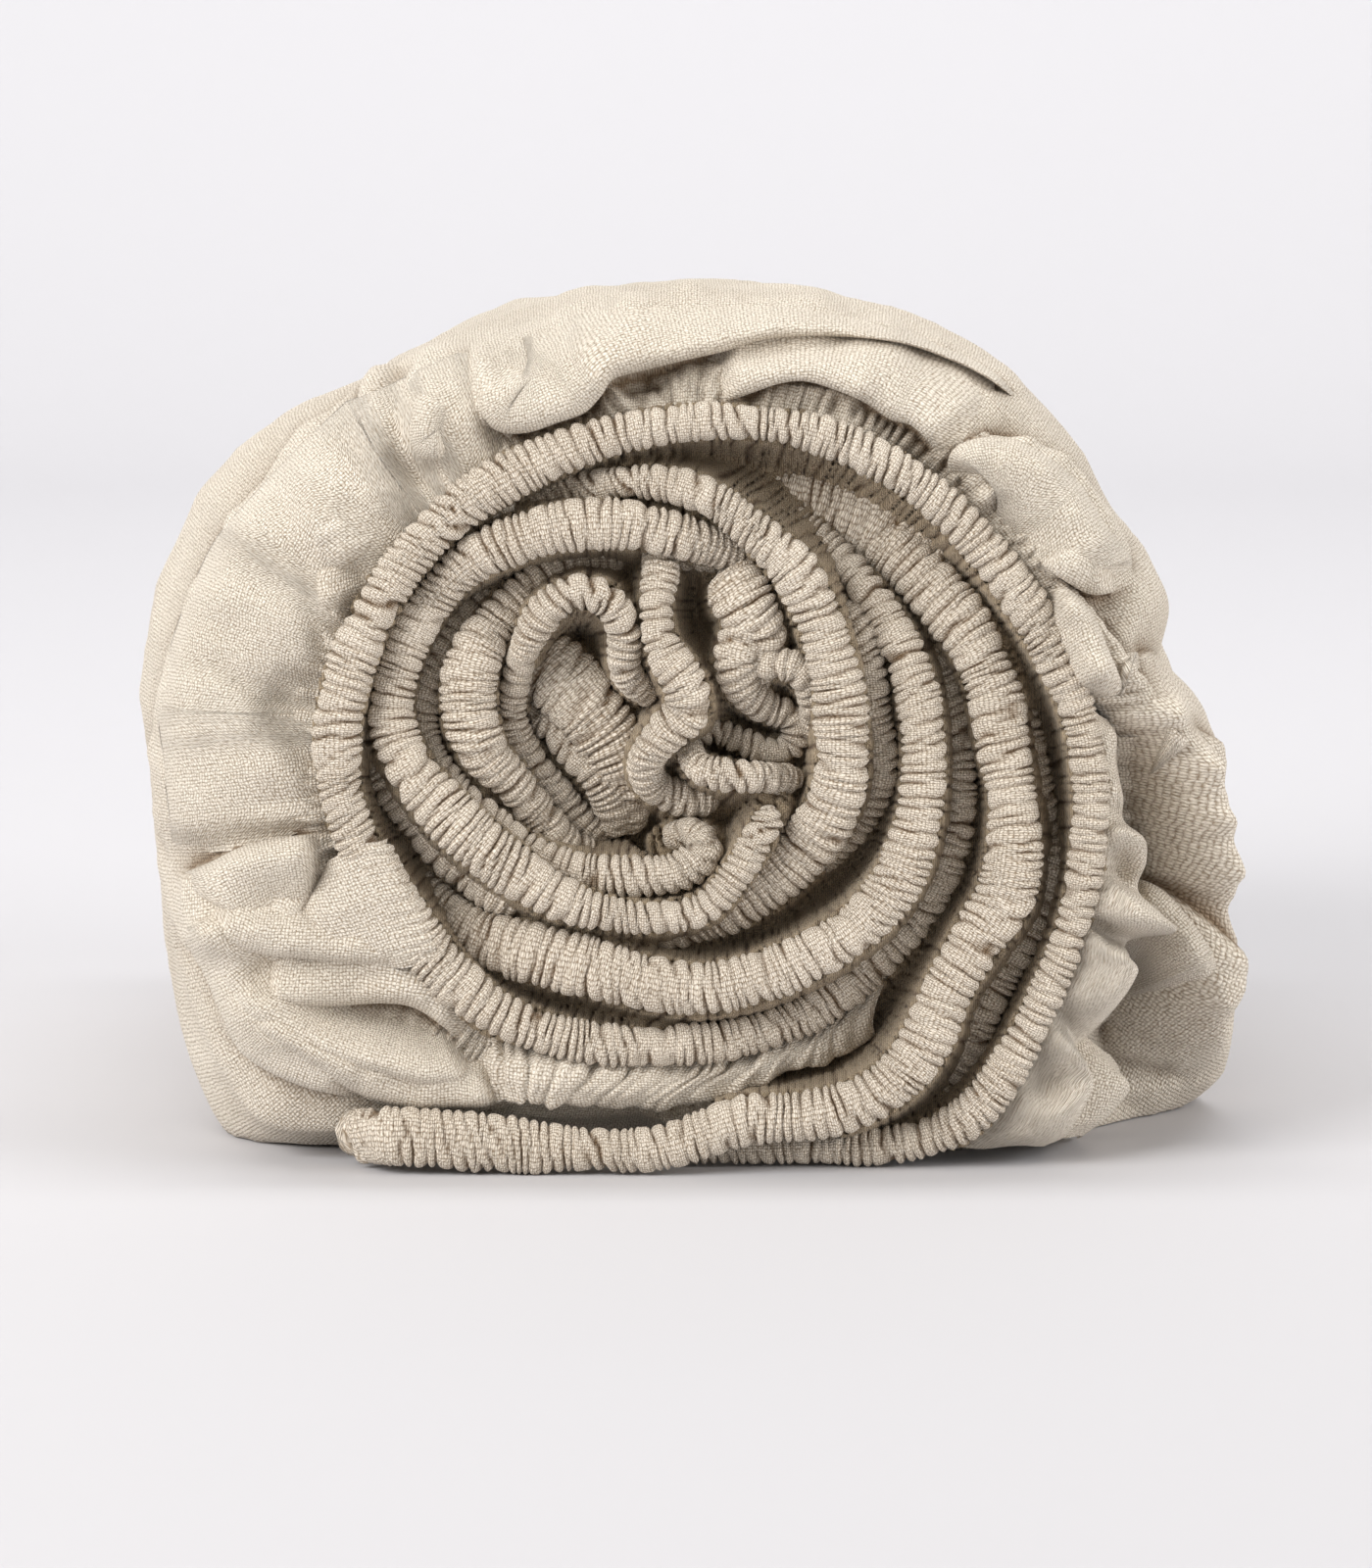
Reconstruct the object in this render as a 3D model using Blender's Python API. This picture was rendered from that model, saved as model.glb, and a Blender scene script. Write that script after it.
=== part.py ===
"""A fitted sheet of crumpled linen, rolled up loosely and lying on its side.

The sheet is one cloth with an elasticated casing round its edge. Rolled up, it is one wound body of
cloth, and the casing shows on its front end as a spiral of gathered bands. Each band that can be
followed is its own solid.
Frame: origin on the floor under the middle of the roll, +Z up, -Y towards the end with the spiral.
"""

import math

import bpy
import numpy as np

MM = 0.001

# Driving dimensions, in millimetres
ROLL_LENGTH = 300.0
BAND_THICKNESS = 7.6
CLEARANCE = 0.5
GROOVE_DEPTH = 42.0

# The view in which the bands' places were read: an eye this far away and this high above the level
EYE_DISTANCE = 1500.0
EYE_RISE = math.radians(8.0)
VIEW_CENTRE_HEIGHT = 94.0
READ_HEIGHT = 92.0
FRONT = -ROLL_LENGTH / 2 + 4.0

# Shape of the mesh
BAND_STEP = 9.0
BAND_SIDES = 6
AROUND = 96
FACE_RINGS = 23
RUFF_RINGS = 15
SIDE_RINGS = 12
BACK_RINGS = 8

# Each band's middle line on the front end, followed by eye.
# Columns: x across, z up, depth behind the front plane, width of the band.
BANDS = {
    "casing_outer_turn": (
        (-8, 5.2, 13, 8), (8, 5.0, 13, 8), (24, 5.3, 13, 8), (40, 6.0, 12.5, 9), (55, 8.7, 11, 10),
        (66, 14, 8, 11), (74, 23, 6, 10.5), (80, 34, 6, 9), (86, 46, 6, 9), (91, 60, 6, 9),
        (94, 74, 6, 9), (95, 88, 6, 9), (94, 101, 7, 9.5), (90.5, 113, 8, 9.5), (85, 125, 8, 10.5),
        (78, 136.5, 8, 11), (69.5, 148, 8, 11), (59, 158.5, 8, 10), (47, 167, 8, 10.5),
        (33, 173.5, 8, 10), (18, 176.5, 8, 9), (2, 177, 8, 9), (-14, 174.5, 8, 10), (-29, 170, 7, 11),
        (-43, 163.5, 6, 11.5), (-55, 155, 5, 11.5), (-65, 145, 4, 11), (-73, 133, 2, 11),
        (-78.5, 120, 1, 11.5), (-81.5, 107, 1, 12), (-81.5, 94, 1, 11), (-78.5, 82, 1, 11),
        (-73, 71, 1, 12.5), (-66, 60, 1, 14), (-57.5, 49, 2, 13), (-46.5, 39.5, 3, 11.5),
        (-34, 34, 4, 10.5), (-20, 31, 5, 10), (-5, 30.5, 8, 10), (10, 32, 11, 10), (24, 36, 14, 10),
        (37, 43.5, 16, 10.5), (48, 53.5, 17, 10), (57, 64.5, 18, 9), (62.5, 77, 19, 8.5),
        (64.5, 90, 20, 8), (64, 103, 22, 8), (61, 115, 25, 8), (56, 125, 29, 7),
    ),
    "casing_lead_turn": (
        (-74.5, 9.8, 19, 14), (-76, 9.5, 11, 15), (-70, 9.5, 4, 15), (-58, 8.8, 3, 14.5),
        (-45, 7.6, 3, 14), (-31, 6.4, 3, 12), (-17, 5.8, 3, 10.5), (-7, 6.5, 2, 11), (3, 9.2, 2, 12.5),
        (15, 13, 2, 13), (28, 14, 2, 13), (40, 17.2, 2, 12.5), (50, 23.5, 2, 13), (57, 33, 3, 13.5),
        (61.5, 44, 4, 12.5), (68, 55, 5, 14), (74.5, 65, 6, 15), (77, 77, 7, 13.5), (76.5, 90, 9, 12),
        (74, 103, 11, 13), (72, 115, 13, 14), (66.5, 127, 16, 14), (58.5, 137, 20, 14),
        (49.5, 146, 25, 14), (39, 153.5, 31, 14), (27, 159.5, 37, 13), (13, 163, 41, 12),
        (-2, 165, 43, 12),
    ),
    "casing_third_turn": (
        (-66, 70, 26, 12), (-57, 61.5, 18, 12), (-47, 55.5, 12, 13), (-35, 52, 8, 15),
        (-22, 48.8, 5, 14.5), (-9, 45.3, 3, 14), (4, 43.8, 2, 13.5), (17, 46.5, 2, 13),
        (30, 52, 2, 12.5), (41.5, 59.5, 3, 12.5), (50, 70, 4, 12.5), (54.5, 83, 5, 11.5),
        (55.8, 96, 7, 11), (55, 109, 9, 11), (51.5, 122, 12, 10.5), (45, 134, 16, 9.5),
        (37, 144.5, 21, 8), (28, 152.5, 25, 7), (18, 158, 28, 7), (7, 161, 31, 7),
    ),
    "casing_fourth_turn": (
        (-60, 139, 33, 8), (-50, 150, 27, 8), (-38, 157, 21, 8), (-26, 161, 15, 8.5),
        (-14, 163, 10, 8.5), (-2, 162, 8, 9), (8, 157.5, 6, 9.5), (17, 150.5, 5, 10.5),
        (25, 142.5, 4, 12), (30.5, 132, 4, 12.5), (34.5, 120, 4, 12.5), (36.5, 107, 4, 13),
        (36.5, 94, 5, 13.5), (33.5, 85, 8, 14), (28, 77, 12, 14), (20, 69, 13, 13.5),
        (10, 62.5, 14, 12), (0, 58.5, 17, 10), (-12, 55.5, 21, 8),
    ),
    "casing_fifth_turn": (
        (24, 137, 21, 8), (14, 144, 15, 9), (3, 149, 9, 10.5), (-9, 152, 6, 11.5), (-22, 153, 5, 12),
        (-35, 151, 5, 12), (-46.5, 146.5, 7, 11.5), (-56, 139.5, 9, 10.5), (-63, 130, 9, 10.5),
        (-67.5, 119, 8, 10.5), (-69, 108, 7, 11), (-66, 98, 5, 12), (-60, 89.5, 4, 13),
        (-51.5, 80.5, 3, 13.5), (-41.5, 72.5, 3, 13), (-30.5, 65.5, 3, 11.5), (-18, 61.5, 3, 9.5),
        (-5, 60.8, 3, 8.5), (5, 63.5, 3, 8.5), (12, 71.5, 4, 8.5), (17.5, 80, 5, 8.5),
        (20.5, 87, 6, 8.5),
    ),
    "casing_sixth_turn": (
        (-40, 141, 27, 8), (-49, 134, 23, 8), (-56, 125, 19, 8), (-60.5, 114, 17, 8),
        (-61.5, 104, 15, 8), (-58, 96.5, 13, 8), (-51, 88.5, 12, 8), (-43.5, 81.5, 12, 8),
        (-35, 75.5, 11, 8.5), (-24.5, 71.5, 10, 9.5), (-12, 70.5, 9, 10), (-2, 71.5, 9, 10),
        (4.5, 76, 11, 9), (1.5, 80.8, 17, 8), (-5, 78.5, 24, 8),
    ),
    "casing_seventh_turn": (
        (-14, 145, 24, 8), (-26, 144, 21, 9), (-36, 139, 18, 9.5), (-44, 131, 15, 11),
        (-49.8, 121, 10, 12.8), (-51, 110, 9, 14), (-48, 100, 10, 12.5), (-41, 92.8, 14, 11),
        (-35, 85.5, 19, 10), (-29, 79, 22, 9), (-21, 74.5, 26, 8),
    ),
    "casing_inner_loop": (
        (-19, 78.5, 30, 8), (-25.5, 84.5, 27, 8), (-31.5, 91.5, 24, 8), (-37, 99, 21, 8),
        (-40.5, 107, 18, 7.5), (-39.8, 117, 15, 7.5), (-37, 126, 9, 8.5), (-33, 133, 6, 9),
        (-25.5, 137, 5, 9), (-18.5, 135, 5, 9), (-14.5, 128, 7, 8), (-14.5, 120, 10, 8),
        (-11.5, 115, 14, 7.5), (-7, 112.5, 20, 7),
    ),
    "casing_middle_drop": (
        (-6, 150, 17, 8), (-6, 142, 10, 8.5), (-7, 133, 6, 8.5), (-5.5, 124, 4, 9.5),
        (-0.5, 116, 3, 11.5), (0.5, 109.5, 4, 11.5), (-5, 104, 6, 10), (-9.5, 98, 9, 9),
        (-8, 92, 15, 9), (-1, 88.8, 19, 9), (8, 88.5, 23, 8.5),
    ),
    "casing_centre_fold": (
        (27, 93, 18, 7), (18, 93.5, 8, 8), (9, 94, 6, 8), (2.5, 96.3, 8, 7.5), (1, 101.5, 15.5, 6.5),
        (6, 104.5, 18, 7), (12, 102.5, 18, 7), (19, 100, 18, 7), (25, 101.5, 19, 7.5),
        (25, 107.5, 18, 8), (18.5, 110.5, 16, 9), (13.5, 114.5, 12, 10), (12, 121, 9, 11.5),
        (13.5, 127, 9, 12), (15, 132, 11, 12),
    ),
    "casing_core_fold": (
        (-37, 114, 24, 11), (-31, 118, 19, 14), (-23, 115, 17, 15), (-18, 107, 18, 14),
        (-15.5, 98, 20, 12), (-15, 89, 25, 10), (-14, 82, 32, 9),
    ),
}

# The roll's outline at its front, read the same way. Columns: x, z, depth of its widest place.
OUTLINE = (
    (127, 40, 60), (124, 62, 64), (123, 84, 70), (117, 106, 66), (110, 128, 55), (105, 147, 50),
    (98, 165, 52), (85, 184, 56), (71, 197, 60), (50, 204, 64), (28, 208, 70), (6, 209, 76),
    (-14, 208, 80), (-34, 204, 70), (-54, 196, 60), (-74, 187, 60), (-95, 180, 70), (-112, 166, 76),
    (-122, 146, 78), (-126, 121, 76), (-125, 98, 70), (-123, 78, 56), (-121, 58, 46), (-115, 38, 28),
    (-99, 25, 18), (-78, 17, 14), (-58, 14, 14), (-38, 14, 13), (-10, 13, 13), (20, 8, 22), (50, 6, 30),
    (80, 6, 34), (106, 12, 46),
)

# The rim: where the outer cloth leaves the outer band. Columns: x, z, depth.
RIM = (
    (98, 60, 9), (99, 90, 9), (96, 112, 10), (84, 136, 11), (66, 159, 11), (40, 177, 11), (10, 183, 11),
    (-22, 180, 10), (-50, 168, 8), (-72, 150, 6), (-85, 124, 4), (-89, 102, 4), (-86, 80, 4),
    (-80, 62, 4), (-72, 47, 5), (-60, 35, 7), (-45, 27, 8), (-20, 23, 9), (0, 21, 12), (20, 14, 18),
    (42, 9, 20), (62, 9, 20), (80, 15, 18), (88, 28, 12), (94, 44, 10),
)

# The roll's section at the middle of its length, as it lies. Columns: x, z.
MID_SECTION = (
    (131, 40), (130, 66), (123, 100), (111, 132), (94, 161), (69, 184), (36, 198), (0, 201), (-40, 195),
    (-78, 179), (-108, 156), (-125, 126), (-131, 94), (-130, 60), (-125, 28), (-117, 2), (-98, -14),
    (0, -10), (80, -6), (106, 2), (122, 16),
)

# Main puffs and creases of the outer cloth, each along a line from one place to another.
# Columns: angle about the middle and distance out from the band, twice, rise, half width.
# A rise below 0 is a crease.
FOLDS = (
    (170, 2, 167, 32, -8, 3.5), (182, 2, 178, 22, -4, 3), (193, 2, 195, 62, -8, 4),
    (203, 2, 206, 34, -6, 3), (157, 2, 154, 30, -5, 3), (147, 2, 143, 28, -5, 3),
    (162, 16, 158, 58, 6, 12), (183, 18, 184, 64, 6, 14), (149, 16, 146, 50, 5, 10),
    (200, 60, 214, 42, 5, 6), (214, 42, 232, 26, 5, 6), (204, 72, 218, 50, -6, 5),
    (218, 50, 236, 34, -5, 5), (202, 44, 214, 16, 4, 6), (190, 80, 202, 84, 5, 9),
    (133, 8, 125, 36, 6, 7), (121, 14, 116, 40, 6, 7), (138, 2, 133, 40, -10, 4),
    (127, 2, 121, 20, -6, 3), (140, 30, 150, 62, -6, 5), (150, 62, 172, 76, -7, 5),
    (172, 76, 188, 78, -5, 5), (116, 4, 97, 10, -7, 4), (97, 10, 83, 23, -9, 5),
    (83, 23, 64, 31, -8, 5), (64, 31, 50, 62, -8, 5), (112, 20, 97, 30, 5, 8), (97, 32, 80, 45, 5, 9),
    (80, 47, 60, 60, 4, 9), (75, 4, 60, 30, 6, 6), (40, 14, 28, 30, 8, 11), (50, 6, 42, 42, -7, 4),
    (42, 42, 28, 52, -8, 4), (28, 52, 20, 36, -9, 4), (20, 36, 18, 4, -9, 4), (46, 62, 34, 68, 6, 10),
    (8, 2, 6, 30, -5, 3), (-3, 2, -4, 30, -5, 3), (-12, 2, -13, 24, -5, 3), (-19, 2, -20, 28, -6, 3.5),
    (-30, 2, -32, 24, -7, 3.5), (-15.5, 12, -16, 22, 5, 5), (-25, 10, -26, 26, 7, 6),
    (-36, 8, -37, 24, 7, 6), (2, 14, -8, 24, 5, 9), (14, 40, 0, 52, -7, 5), (-10, 42, -28, 40, -8, 5),
    (-28, 40, -42, 36, -7, 5), (12, 64, 4, 80, 5, 10), (-20, 66, -30, 78, 5, 14),
    (30, 110, 25, 230, -4, 8), (60, 120, 66, 260, -4, 8), (95, 110, 90, 200, 4, 12),
    (120, 110, 128, 240, -5, 8), (150, 120, 146, 250, 4, 14), (165, 110, 170, 260, -4, 8),
    (10, 120, 14, 250, -4, 8),
)
MM_PER_DEGREE = 1.9

# The back end: turns of plain folded cloth, as a shallow spiral groove
BACK_TURNS = 3.2
BACK_GROOVE = 7.0
BACK_BULGE = 30.0
BACK_TAPER = 0.06

# How far behind the front the section fills out
FILL_LENGTH = 36.0

MIDDLE_X = 0.0
MIDDLE_Z = 100.0


def seen_at(x, z, depth):
    """The point that the eye sees at (x, z) of the picture plane, this deep behind the front."""
    up = np.array([0.0, math.sin(EYE_RISE), math.cos(EYE_RISE)])
    ahead = np.array([0.0, math.cos(EYE_RISE), -math.sin(EYE_RISE)])
    centre = np.array([0.0, FRONT, VIEW_CENTRE_HEIGHT])
    eye = centre - EYE_DISTANCE * ahead
    on_plane = centre + np.array([x, 0.0, 0.0]) + (z - READ_HEIGHT) * up
    ray = on_plane - eye
    return eye + ray * (FRONT + depth - eye[1]) / ray[1]


def smooth_line(rows, step):
    """Catmull-Rom curve through rows of (point, width), read at about one row a step."""
    padded = np.vstack([2 * rows[0] - rows[1], rows, 2 * rows[-1] - rows[-2]])
    t = np.linspace(0, 1, 24, endpoint=False)[:, None]
    parts = []
    for a, b, c, d in zip(padded[:-3], padded[1:-2], padded[2:-1], padded[3:]):
        cubic = 2 * b + (c - a) * t + (2 * a - 5 * b + 4 * c - d) * t**2 + (3 * b - a - 3 * c + d) * t**3
        parts.append(cubic / 2)
    fine = np.vstack([*parts, rows[-1:]])
    along = np.concatenate([[0], np.cumsum(np.linalg.norm(np.diff(fine[:, :3], axis=0), axis=1))])
    count = max(4, round(along[-1] / step) + 1)
    at = np.linspace(0, along[-1], count)
    return np.stack([np.interp(at, along, fine[:, k]) for k in range(fine.shape[1])], axis=1)


def band_line(name, step):
    """Points (x, y, z, width) along a band's middle, kept clear of the floor."""
    rows = np.array([[*seen_at(x, z, depth), width] for x, z, depth, width in BANDS[name]])
    line = smooth_line(rows, step)
    line[:, 2] = np.maximum(line[:, 2], line[:, 3] / 2 + CLEARANCE)
    return line


def directions(line):
    """The directions along and across the band at each point, carried along without twisting."""
    tangent = np.gradient(line[:, :3], axis=0)
    tangent /= np.linalg.norm(tangent, axis=1)[:, None]
    across = np.zeros_like(tangent)
    start = len(line) // 2
    across[start] = np.cross(tangent[start], (0, 1, 0))
    for i in [*range(start + 1, len(line)), *range(start - 1, -1, -1)]:
        before = across[i - 1] if i > start else across[i + 1]
        turned = before - tangent[i] * (before @ tangent[i])
        across[i] = turned / np.linalg.norm(turned)
    across[start] /= np.linalg.norm(across[start])
    return tangent, across


def closed_grid(name, rings, first_pole, last_pole):
    """A closed mesh from rings of points with one point at each end, facing out."""
    count, around = rings.shape[:2]
    points = np.vstack([rings.reshape(-1, 3), first_pole, last_pole])
    ring, segment = np.meshgrid(np.arange(count - 1), np.arange(around), indexing="ij")
    following = (segment + 1) % around
    near, far = ring * around, (ring + 1) * around
    corners = [near + segment, near + following, far + following, far + segment]
    quads = np.stack(corners, axis=-1).reshape(-1, 4)
    first, last = count * around, count * around + 1
    end = (count - 1) * around
    here = np.arange(around)
    after = (here + 1) % around
    front_cap = np.stack([np.full(around, first), after, here], axis=1)
    back_cap = np.stack([np.full(around, last), end + here, end + after], axis=1)
    mesh = bpy.data.meshes.new(name)
    faces = quads.tolist() + front_cap.tolist() + back_cap.tolist()
    mesh.from_pydata((points * MM).tolist(), [], faces)
    mesh.validate()
    obj = bpy.data.objects.new(name, mesh)
    bpy.context.scene.collection.objects.link(obj)
    turn_outwards(mesh)
    mesh.shade_smooth()
    return obj


def turn_outwards(mesh):
    """Flips every face if the enclosed volume comes out below zero."""
    mesh.calc_loop_triangles()
    points = np.array([v.co for v in mesh.vertices])
    corners = points[np.array([t.vertices for t in mesh.loop_triangles])]
    if np.linalg.det(corners).sum() < 0:
        mesh.flip_normals()


def linen(name, colour, roughness):
    """Undyed linen: matt, with no metal."""
    material = bpy.data.materials.new(name)
    material.use_nodes = True
    shader = material.node_tree.nodes["Principled BSDF"]
    shader.inputs["Base Color"].default_value = (*colour, 1)
    shader.inputs["Roughness"].default_value = roughness
    shader.inputs["Metallic"].default_value = 0
    return material


def build_band(name, material):
    """One stretch of the gathered casing: a flat rounded tube along its line, with rounded ends."""
    line = band_line(name, BAND_STEP)
    tangent, across = directions(line)
    through = np.cross(tangent, across)
    angle = (np.arange(BAND_SIDES) + 0.5) * 2 * math.pi / BAND_SIDES
    wide = line[:, 3, None] / 2 * np.cos(angle)
    thick = np.minimum(BAND_THICKNESS, line[:, 3, None]) / 2 * np.sin(angle)
    full = np.ones(len(line))
    full[0] = full[-1] = 0.7
    rings = (
        line[:, None, :3]
        + full[:, None, None] * wide[:, :, None] * across[:, None]
        + full[:, None, None] * thick[:, :, None] * through[:, None]
    )
    rings[:, :, 2] = np.maximum(rings[:, :, 2], CLEARANCE)
    tip = 0.2 * BAND_THICKNESS
    obj = closed_grid(name, rings, line[0, :3] - tip * tangent[0], line[-1, :3] + tip * tangent[-1])
    obj.data.materials.append(material)
    return obj


def around_middle(rows):
    """Angle, radius and depth of outline rows, ready for interpolation round the full turn."""
    points = np.array([seen_at(*row) for row in rows])
    dx, dz = points[:, 0] - MIDDLE_X, points[:, 2] - MIDDLE_Z
    table = np.stack([np.arctan2(dz, dx) % (2 * math.pi), np.hypot(dx, dz), points[:, 1] - FRONT], axis=1)
    table = table[np.argsort(table[:, 0])]
    turn = np.array([2 * math.pi, 0, 0])
    return np.vstack([table - turn, table, table + turn])


def section_table(rows):
    """The same for a section's (x, z) rows, which are real positions."""
    points = np.array(rows, float)
    dx, dz = points[:, 0] - MIDDLE_X, points[:, 1] - MIDDLE_Z
    table = np.stack([np.arctan2(dz, dx) % (2 * math.pi), np.hypot(dx, dz)], axis=1)
    table = table[np.argsort(table[:, 0])]
    turn = np.array([2 * math.pi, 0])
    return np.vstack([table - turn, table, table + turn])


def read_round(table, angle, column):
    """A column of an around_middle table at the given angles, rounded off over a few degrees."""
    spread = np.radians([-5, -2.5, 0, 2.5, 5])
    share = np.array([0.1, 0.25, 0.3, 0.25, 0.1])
    return sum(w * np.interp(angle + s, table[:, 0], table[:, column]) for s, w in zip(spread, share))


def fold_rise(angle, out):
    """Sum of the puffs, which are round, and the creases, which are sharp along their middle."""
    rise = np.zeros(np.broadcast(angle, out).shape)
    for angle_1, out_1, angle_2, out_2, height, half_width in FOLDS:
        across = ((np.degrees(angle) - angle_1 + 180) % 360 - 180) * MM_PER_DEGREE
        along = out - out_1
        run, climb = (angle_2 - angle_1) * MM_PER_DEGREE, out_2 - out_1
        share = np.clip((across * run + along * climb) / (run**2 + climb**2), 0, 1)
        away = np.hypot(across - share * run, along - share * climb) / half_width
        rise = rise + height * (np.exp(-(away**2)) if height > 0 else np.exp(-away))
    return rise


def face_depth(x, z):
    """Depth of the wound cloth behind the bands: a ridge under each band, a groove between them."""
    ridge = np.full(x.shape, GROOVE_DEPTH)
    behind = np.full(x.shape, 6.0)
    for name in BANDS:
        line = band_line(name, 3.0)
        beside = np.hypot(x[..., None] - line[:, 0], z[..., None] - line[:, 2]) - line[:, 3] / 2
        back = line[:, 1] - FRONT + BAND_THICKNESS / 2 + CLEARANCE
        ridge = np.minimum(ridge, (back + 2.2 * np.maximum(0, beside + 2.0)).min(-1))
        behind = np.maximum(behind, (back - 3.0 * np.maximum(0, beside - 4.0)).max(-1))
    return np.maximum(ridge, behind)


def ring_at(radius, depth, angle):
    """One ring of points about the middle, this far behind the front plane."""
    y = FRONT + depth + 0 * angle
    return np.stack([MIDDLE_X + radius * np.cos(angle), y, MIDDLE_Z + radius * np.sin(angle)], axis=1)


def face_rings(angle, rim_radius, rim_depth):
    """The front end, from its middle out to the rim."""
    rings = []
    for share in np.arange(1, FACE_RINGS + 1) / FACE_RINGS:
        flat = ring_at(rim_radius * share, 0, angle)
        rings.append(ring_at(rim_radius * share, face_depth(flat[:, 0], flat[:, 2]), angle))
    rings[-1][:, 1] = np.maximum(rings[-1][:, 1], FRONT + rim_depth)
    return rings


def ruff_and_side_rings(angle, rim_radius, seam_depth):
    """The outer cloth: a quarter turn out from the rim to the outline, then back along the roll."""
    outline, middle = around_middle(OUTLINE), section_table(MID_SECTION)
    out_radius, out_depth = read_round(outline, angle, 1), read_round(outline, angle, 2)
    out_depth = np.maximum(out_depth, seam_depth + 6)
    mid_radius = read_round(middle, angle, 1)
    ruff_length = 0.78 * (np.abs(out_radius - rim_radius) + out_depth - seam_depth)
    rings = []
    for share in np.arange(1, RUFF_RINGS + 1) / RUFF_RINGS:
        swing = share * math.pi / 2
        rise = fold_rise(angle, share * ruff_length) * min(1, 4 * share)
        radius = rim_radius + (out_radius - rim_radius) * math.sin(swing) + rise * math.sin(swing)
        depth = seam_depth + (out_depth - seam_depth) * (1 - math.cos(swing)) - rise * math.cos(swing)
        rings.append(ring_at(radius, depth, angle))
    end_depth = ROLL_LENGTH - BACK_BULGE - 4
    for share in np.arange(1, SIDE_RINGS + 1) / SIDE_RINGS:
        depth = out_depth + (end_depth - out_depth) * share
        filled = np.clip((depth - out_depth) / FILL_LENGTH, 0, 1)
        filled = filled * filled * (3 - 2 * filled)
        radius = out_radius + (mid_radius - out_radius) * filled
        radius = radius * (1 - BACK_TAPER * share**3) + fold_rise(angle, ruff_length + depth - out_depth)
        rings.append(ring_at(radius, depth, angle))
    return rings, radius


def back_rings(angle, side_radius):
    """The back end: domed, with a spiral groove between the turns of cloth."""
    rings = []
    for share in np.arange(1, BACK_RINGS + 1) / (BACK_RINGS + 1):
        swing = share * math.pi / 2
        radius = side_radius * math.cos(swing)
        turns = BACK_TURNS * math.cos(swing) + angle / (2 * math.pi)
        groove = BACK_GROOVE * np.sin(math.pi * turns) ** 2 * min(1, 2 * share)
        depth = ROLL_LENGTH - 4 - BACK_BULGE * (1 - math.sin(swing)) - groove
        rings.append(ring_at(radius, depth, angle))
    return rings


def build_roll(material):
    """The wound cloth, as rings of points from the middle of its front to the middle of its back."""
    angle = np.arange(AROUND) * 2 * math.pi / AROUND
    rim = around_middle(RIM)
    rim_radius, rim_depth = read_round(rim, angle, 1), read_round(rim, angle, 2)
    front = face_rings(angle, rim_radius, rim_depth)
    outer, side_radius = ruff_and_side_rings(angle, rim_radius, front[-1][:, 1] - FRONT)
    rings = np.array(front + outer + back_rings(angle, side_radius))
    rings[:, :, 2] = np.maximum(rings[:, :, 2], 0)
    middle_depth = face_depth(np.array([MIDDLE_X]), np.array([MIDDLE_Z]))[0]
    front_pole = (MIDDLE_X, FRONT + middle_depth, MIDDLE_Z)
    back_pole = (MIDDLE_X, FRONT + ROLL_LENGTH - 4 - BACK_GROOVE, MIDDLE_Z)
    obj = closed_grid("rolled_cloth", rings, front_pole, back_pole)
    obj.data.materials.append(material)
    return obj


def main():
    for obj in list(bpy.data.objects):
        bpy.data.objects.remove(obj, do_unlink=True)
    cloth = linen("linen_cloth", (0.66, 0.58, 0.47), 0.9)
    casing = linen("linen_casing", (0.62, 0.54, 0.44), 0.92)
    build_roll(cloth)
    for name in BANDS:
        build_band(name, casing)


main()
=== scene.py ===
import math

import bpy
import numpy as np
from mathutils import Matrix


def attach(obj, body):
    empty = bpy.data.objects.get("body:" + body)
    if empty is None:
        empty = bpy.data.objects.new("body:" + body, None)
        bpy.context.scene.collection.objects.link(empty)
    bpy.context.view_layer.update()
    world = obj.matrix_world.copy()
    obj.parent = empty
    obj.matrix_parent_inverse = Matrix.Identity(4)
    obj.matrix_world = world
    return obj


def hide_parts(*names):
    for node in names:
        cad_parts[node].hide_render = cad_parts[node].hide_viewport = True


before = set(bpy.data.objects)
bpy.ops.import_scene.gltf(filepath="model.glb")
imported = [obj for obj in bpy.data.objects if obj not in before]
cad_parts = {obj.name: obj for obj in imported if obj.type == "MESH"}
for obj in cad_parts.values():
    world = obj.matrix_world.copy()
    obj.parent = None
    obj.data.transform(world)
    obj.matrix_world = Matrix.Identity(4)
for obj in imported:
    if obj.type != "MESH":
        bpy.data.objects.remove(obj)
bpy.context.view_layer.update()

# The view. The roll is seen end-on from a little above, far off through a long lens, so that its round end
# keeps its true outline. The picture plane is the one in which its folds were read, at the front end.
ROLL_LENGTH = 0.300
FRONT = -ROLL_LENGTH / 2 + 0.004
EYE_DISTANCE = 1.5
EYE_RISE = math.radians(8)
VIEW_CENTRE = np.array([0, FRONT, 0.094])
READ_HEIGHT = 0.092
VIEW_UP = np.array([0, math.sin(EYE_RISE), math.cos(EYE_RISE)])
VIEW_AHEAD = np.array([0, math.cos(EYE_RISE), -math.sin(EYE_RISE)])
EYE = VIEW_CENTRE - EYE_DISTANCE * VIEW_AHEAD
PICTURE_HEIGHT = 0.368

camera_data = bpy.data.cameras.new("camera")
camera_data.lens = camera_data.sensor_width * EYE_DISTANCE / PICTURE_HEIGHT
camera = bpy.data.objects.new("camera", camera_data)
camera.location = EYE
camera.rotation_euler = (math.pi / 2 - EYE_RISE, 0, 0)
bpy.context.scene.collection.objects.link(camera)
bpy.context.scene.camera = camera


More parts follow.
